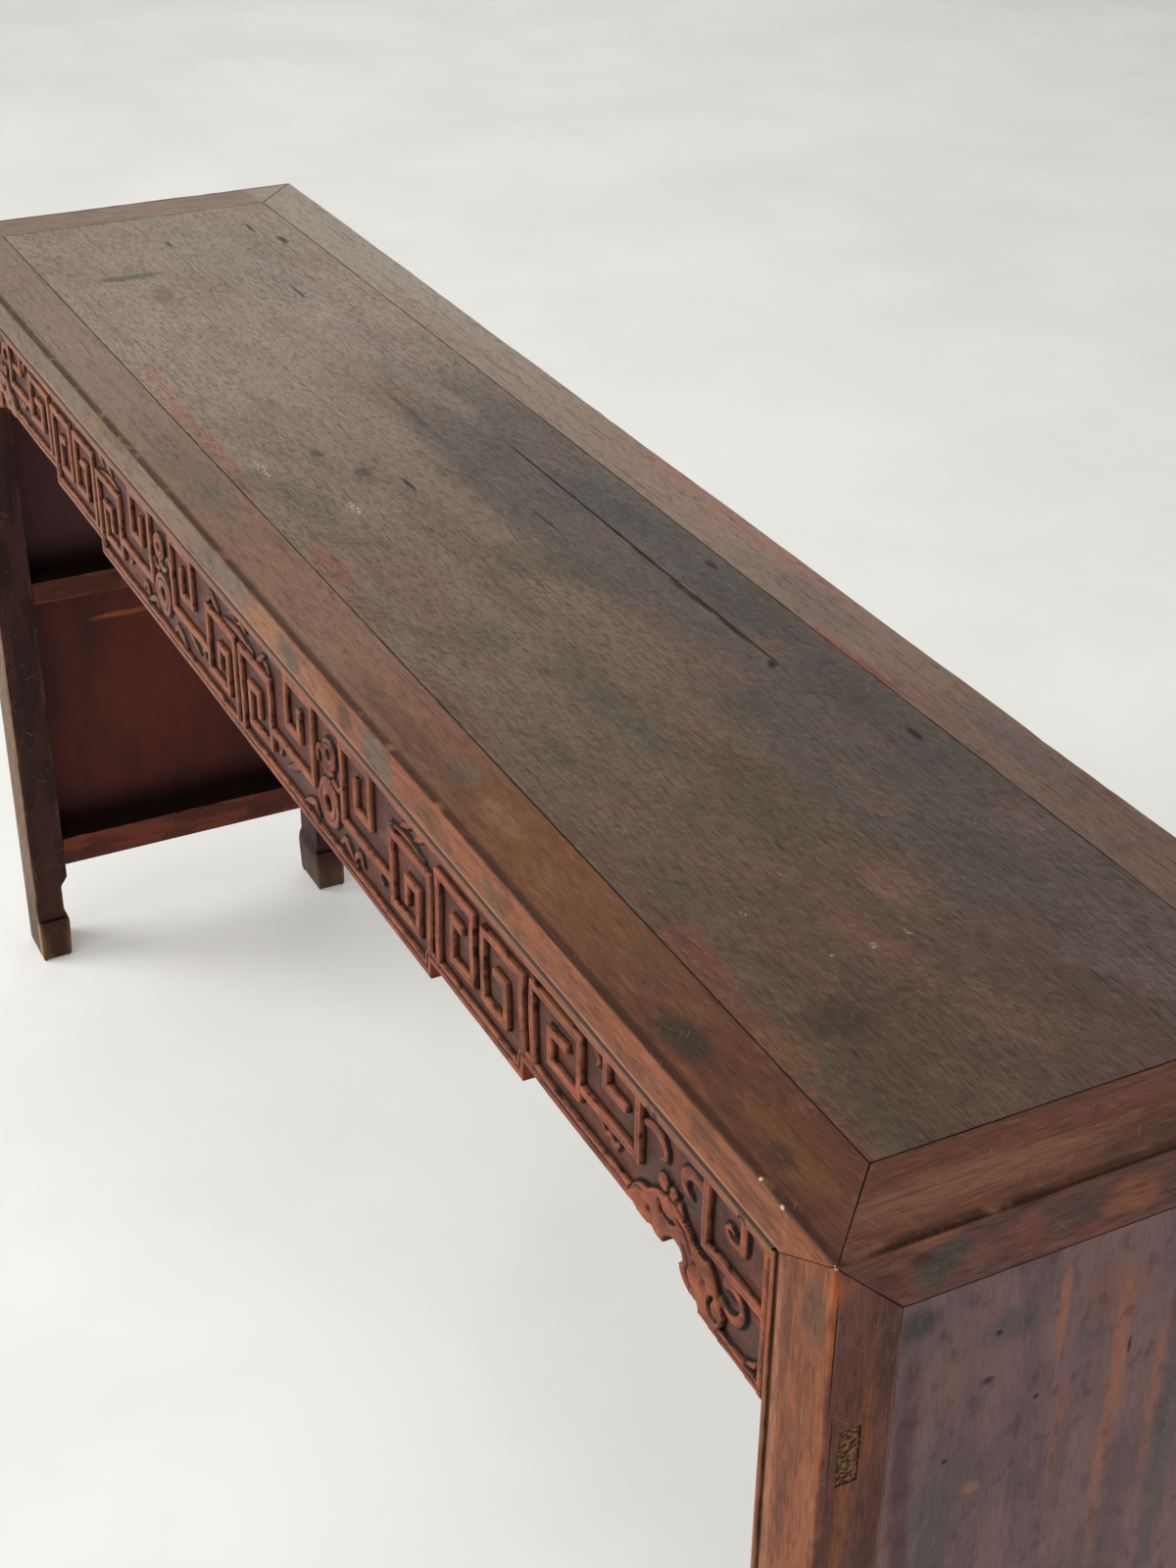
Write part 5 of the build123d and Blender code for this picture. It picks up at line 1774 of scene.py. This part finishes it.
# hollows lower than their surroundings: dirt and painted shade
grime_and_shade_mark = np.clip((blurred(height, 10) - height - 0.45) / 0.75, 0, 1)
fade = 1.0  # the waver dies out towards each edge
for distance in (to_edge, LONG_RAIL_Z - Z, X, LEG_X - X):
    fade = fade * np.clip(distance / 8, 0, 1)
sway_x, sway_z = grid_sway(42, 3.1), grid_sway(36, 8.7)
PX = np.where(snapped, edge_x, X + 1.3 * sway_x * fade)
PZ = np.where(snapped, edge_z, Z + 0.9 * sway_z * fade)
PY = -APRON_FACE + (RELIEF - height) + 0.25 * (sway_x + sway_z)
PY = np.maximum(PY, -APRON_FACE)
print("points pulled onto the lower edge:", int(snapped.sum()))

# %% [markdown]
# Four neighbouring points that are all on the board make one face. The left half has the same points with
# their x turned round, and its faces are listed the other way round, so that they look forward as well.

# %% Join the grid into a sheet
cells = kept[:-1, :-1] & kept[1:, :-1] & kept[1:, 1:] & kept[:-1, 1:]
ids = np.arange(X.size).reshape(X.shape)
quads = np.stack([ids[:-1, :-1], ids[1:, :-1], ids[1:, 1:], ids[:-1, 1:]], axis=-1)[cells]
half_points = np.stack([PX.ravel(), PY.ravel(), PZ.ravel()], axis=1)
sheet_points = np.vstack([half_points, mirrored(half_points, -1)])
sheet_faces = np.vstack([quads, quads[:, ::-1] + X.size])
sheet_marks = {
    "relief": np.tile(np.clip(np.maximum(height / RELIEF, stroke_relief), 0, 1).ravel(), 2),
    "grime_and_shade": np.tile(grime_and_shade_mark.ravel(), 2),
    "edge": np.tile(edge_mark.ravel(), 2),
    "lines": np.tile(lines.ravel(), 2),
}
print("grid faces:", len(sheet_faces))

# %% [markdown]
# The sheet has a front but no thickness. Its open rim is extruded to the back of the board, and the hole
# that is left there is filled with one flat face.

# %% Close the sheet into a board
mesh = bpy.data.meshes.new("apron_sheet")
mesh.from_pydata(sheet_points.tolist(), [], sheet_faces.tolist())
for key, values in sheet_marks.items():
    mesh.attributes.new(key, "FLOAT", "POINT").data.foreach_set("value", values.astype(np.float32))
shape = bmesh.new()
shape.from_mesh(mesh)
bmesh.ops.delete(shape, geom=[v for v in shape.verts if not v.link_faces], context="VERTS")
bmesh.ops.remove_doubles(shape, verts=shape.verts, dist=0.05)
bmesh.ops.dissolve_degenerate(shape, edges=shape.edges, dist=0.02)
rim = [e for e in shape.edges if e.is_boundary]
pulled = bmesh.ops.extrude_edge_only(shape, edges=rim)["geom"]
back_rim = [v for v in pulled if isinstance(v, bmesh.types.BMVert)]
for vert in back_rim:
    vert.co.y = -APRON_BACK
pulled_edges = [e for e in pulled if isinstance(e, bmesh.types.BMEdge)]
back_edges = [e for e in pulled_edges if all(abs(v.co.y + APRON_BACK) < 0.01 for v in e.verts)]
bmesh.ops.holes_fill(shape, edges=back_edges, sides=0)
shape.to_mesh(mesh)
shape.free()
board_points = np.array([v.co for v in mesh.vertices])
board_faces = sorted(tuple(p.vertices) for p in mesh.polygons)  # bmesh gives the rim in any order
board_marks = {key: np.array([d.value for d in mesh.attributes[key].data]) for key in sheet_marks}
bpy.data.meshes.remove(mesh)
print("points of the board:", len(board_points))

# %% [markdown]
# Where the tenons come through the legs, their end grain stands a little uneven, since it was sawn and
# never planed. Two small blocks do for that, with the points of their tips moved at random.

# %% Add the ends of its tenons
TENON_Z = (716, 752)
TENON_BACK_Y = -APRON_FACE + 12
rng = np.random.default_rng(4)
for side in (1, -1):
    low = (LEG_X - 1, -APRON_FACE, TENON_Z[0])
    high = (HALF_L - 0.2, TENON_BACK_Y, TENON_Z[1])
    points, faces, _ = block(low, high, radius=0.4, step=1.6, sway=0, seed=1)
    tip = points[:, 0] > HALF_L - 1
    points[tip, 0] -= np.abs(rng.normal(0, 0.45, tip.sum()))  # rough end grain
    faces = [tuple(i + len(board_points) for i in face) for face in faces]
    board_points = np.vstack([board_points, mirrored(points, side)])
    board_faces += faces
    for key in board_marks:
        value = {"relief": 0.9}.get(key, 0.0)
        board_marks[key] = np.concatenate([board_marks[key], np.full(len(points), value)])
apron = make(
    "carved_apron", board_points, board_faces, apron_lacquer, ["apron_front"], board_marks
)
print(apron.name, len(apron.data.polygons), "faces")

# %% [markdown]
# ## Mortises in the legs
#
# The apron's tenons pass right through the legs, and their rough ends show on the outer faces. Each
# front leg gets a shallow pocket there by a Boolean modifier, which is then applied.

# %% Cut the pockets
POCKET_GAP = 0.35  # shadow gap round a tenon


def cut_pocket(leg, side):
    """Cut the pocket of one tenon into a leg and give the number of faces."""
    low = (HALF_L - 4, -APRON_FACE - POCKET_GAP, TENON_Z[0] - POCKET_GAP)
    high = (HALF_L + 2, TENON_BACK_Y + POCKET_GAP, TENON_Z[1] + POCKET_GAP)
    shape = bmesh.new()
    bmesh.ops.create_cube(shape, size=1)
    for vert in shape.verts:
        vert.co = Vector([(a + b) / 2 + c * (b - a) for a, b, c in zip(low, high, vert.co)]) * MM
        vert.co.x *= side
    bmesh.ops.recalc_face_normals(shape, faces=shape.faces)
    cutter_mesh = bpy.data.meshes.new("pocket")
    shape.to_mesh(cutter_mesh)
    shape.free()
    cutter = bpy.data.objects.new("pocket", cutter_mesh)
    scene.collection.objects.link(cutter)
    modifier = leg.modifiers.new("pocket", "BOOLEAN")
    modifier.operation = "DIFFERENCE"
    modifier.object = cutter
    modifier.solver = "EXACT"
    bpy.context.view_layer.update()
    cut = bpy.data.meshes.new_from_object(leg.evaluated_get(bpy.context.evaluated_depsgraph_get()))
    leg.modifiers.clear()
    leg.data = cut
    bpy.data.objects.remove(cutter)
    return len(cut.polygons)


for side, end in ((1, "right"), (-1, "left")):
    leg = bpy.data.objects[f"worn_leg_front_{end}"]
    print(leg.name, cut_pocket(leg, side), "faces after the cut")

# %% [markdown]
# ## Battens and wedges
#
# The battens under the boards and the wedges in the tenons keep their solids' shapes. They only need
# their surface: plain wood that was never lacquered.

# %% Finish the solids that stay
for node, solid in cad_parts.items():
    if not solid.hide_render:
        solid.data.materials.clear()
        solid.data.materials.append(bare_wood)
        print("bare wood on", node)

# %% [markdown]
# ## Faces in all
#
# The new meshes keep within the solids' box, since `make` clips every point to it. Last, the faces of all
# new pieces are counted.

# %% Count the faces
print("faces in all:", sum(len(p.data.polygons) for p in pieces))
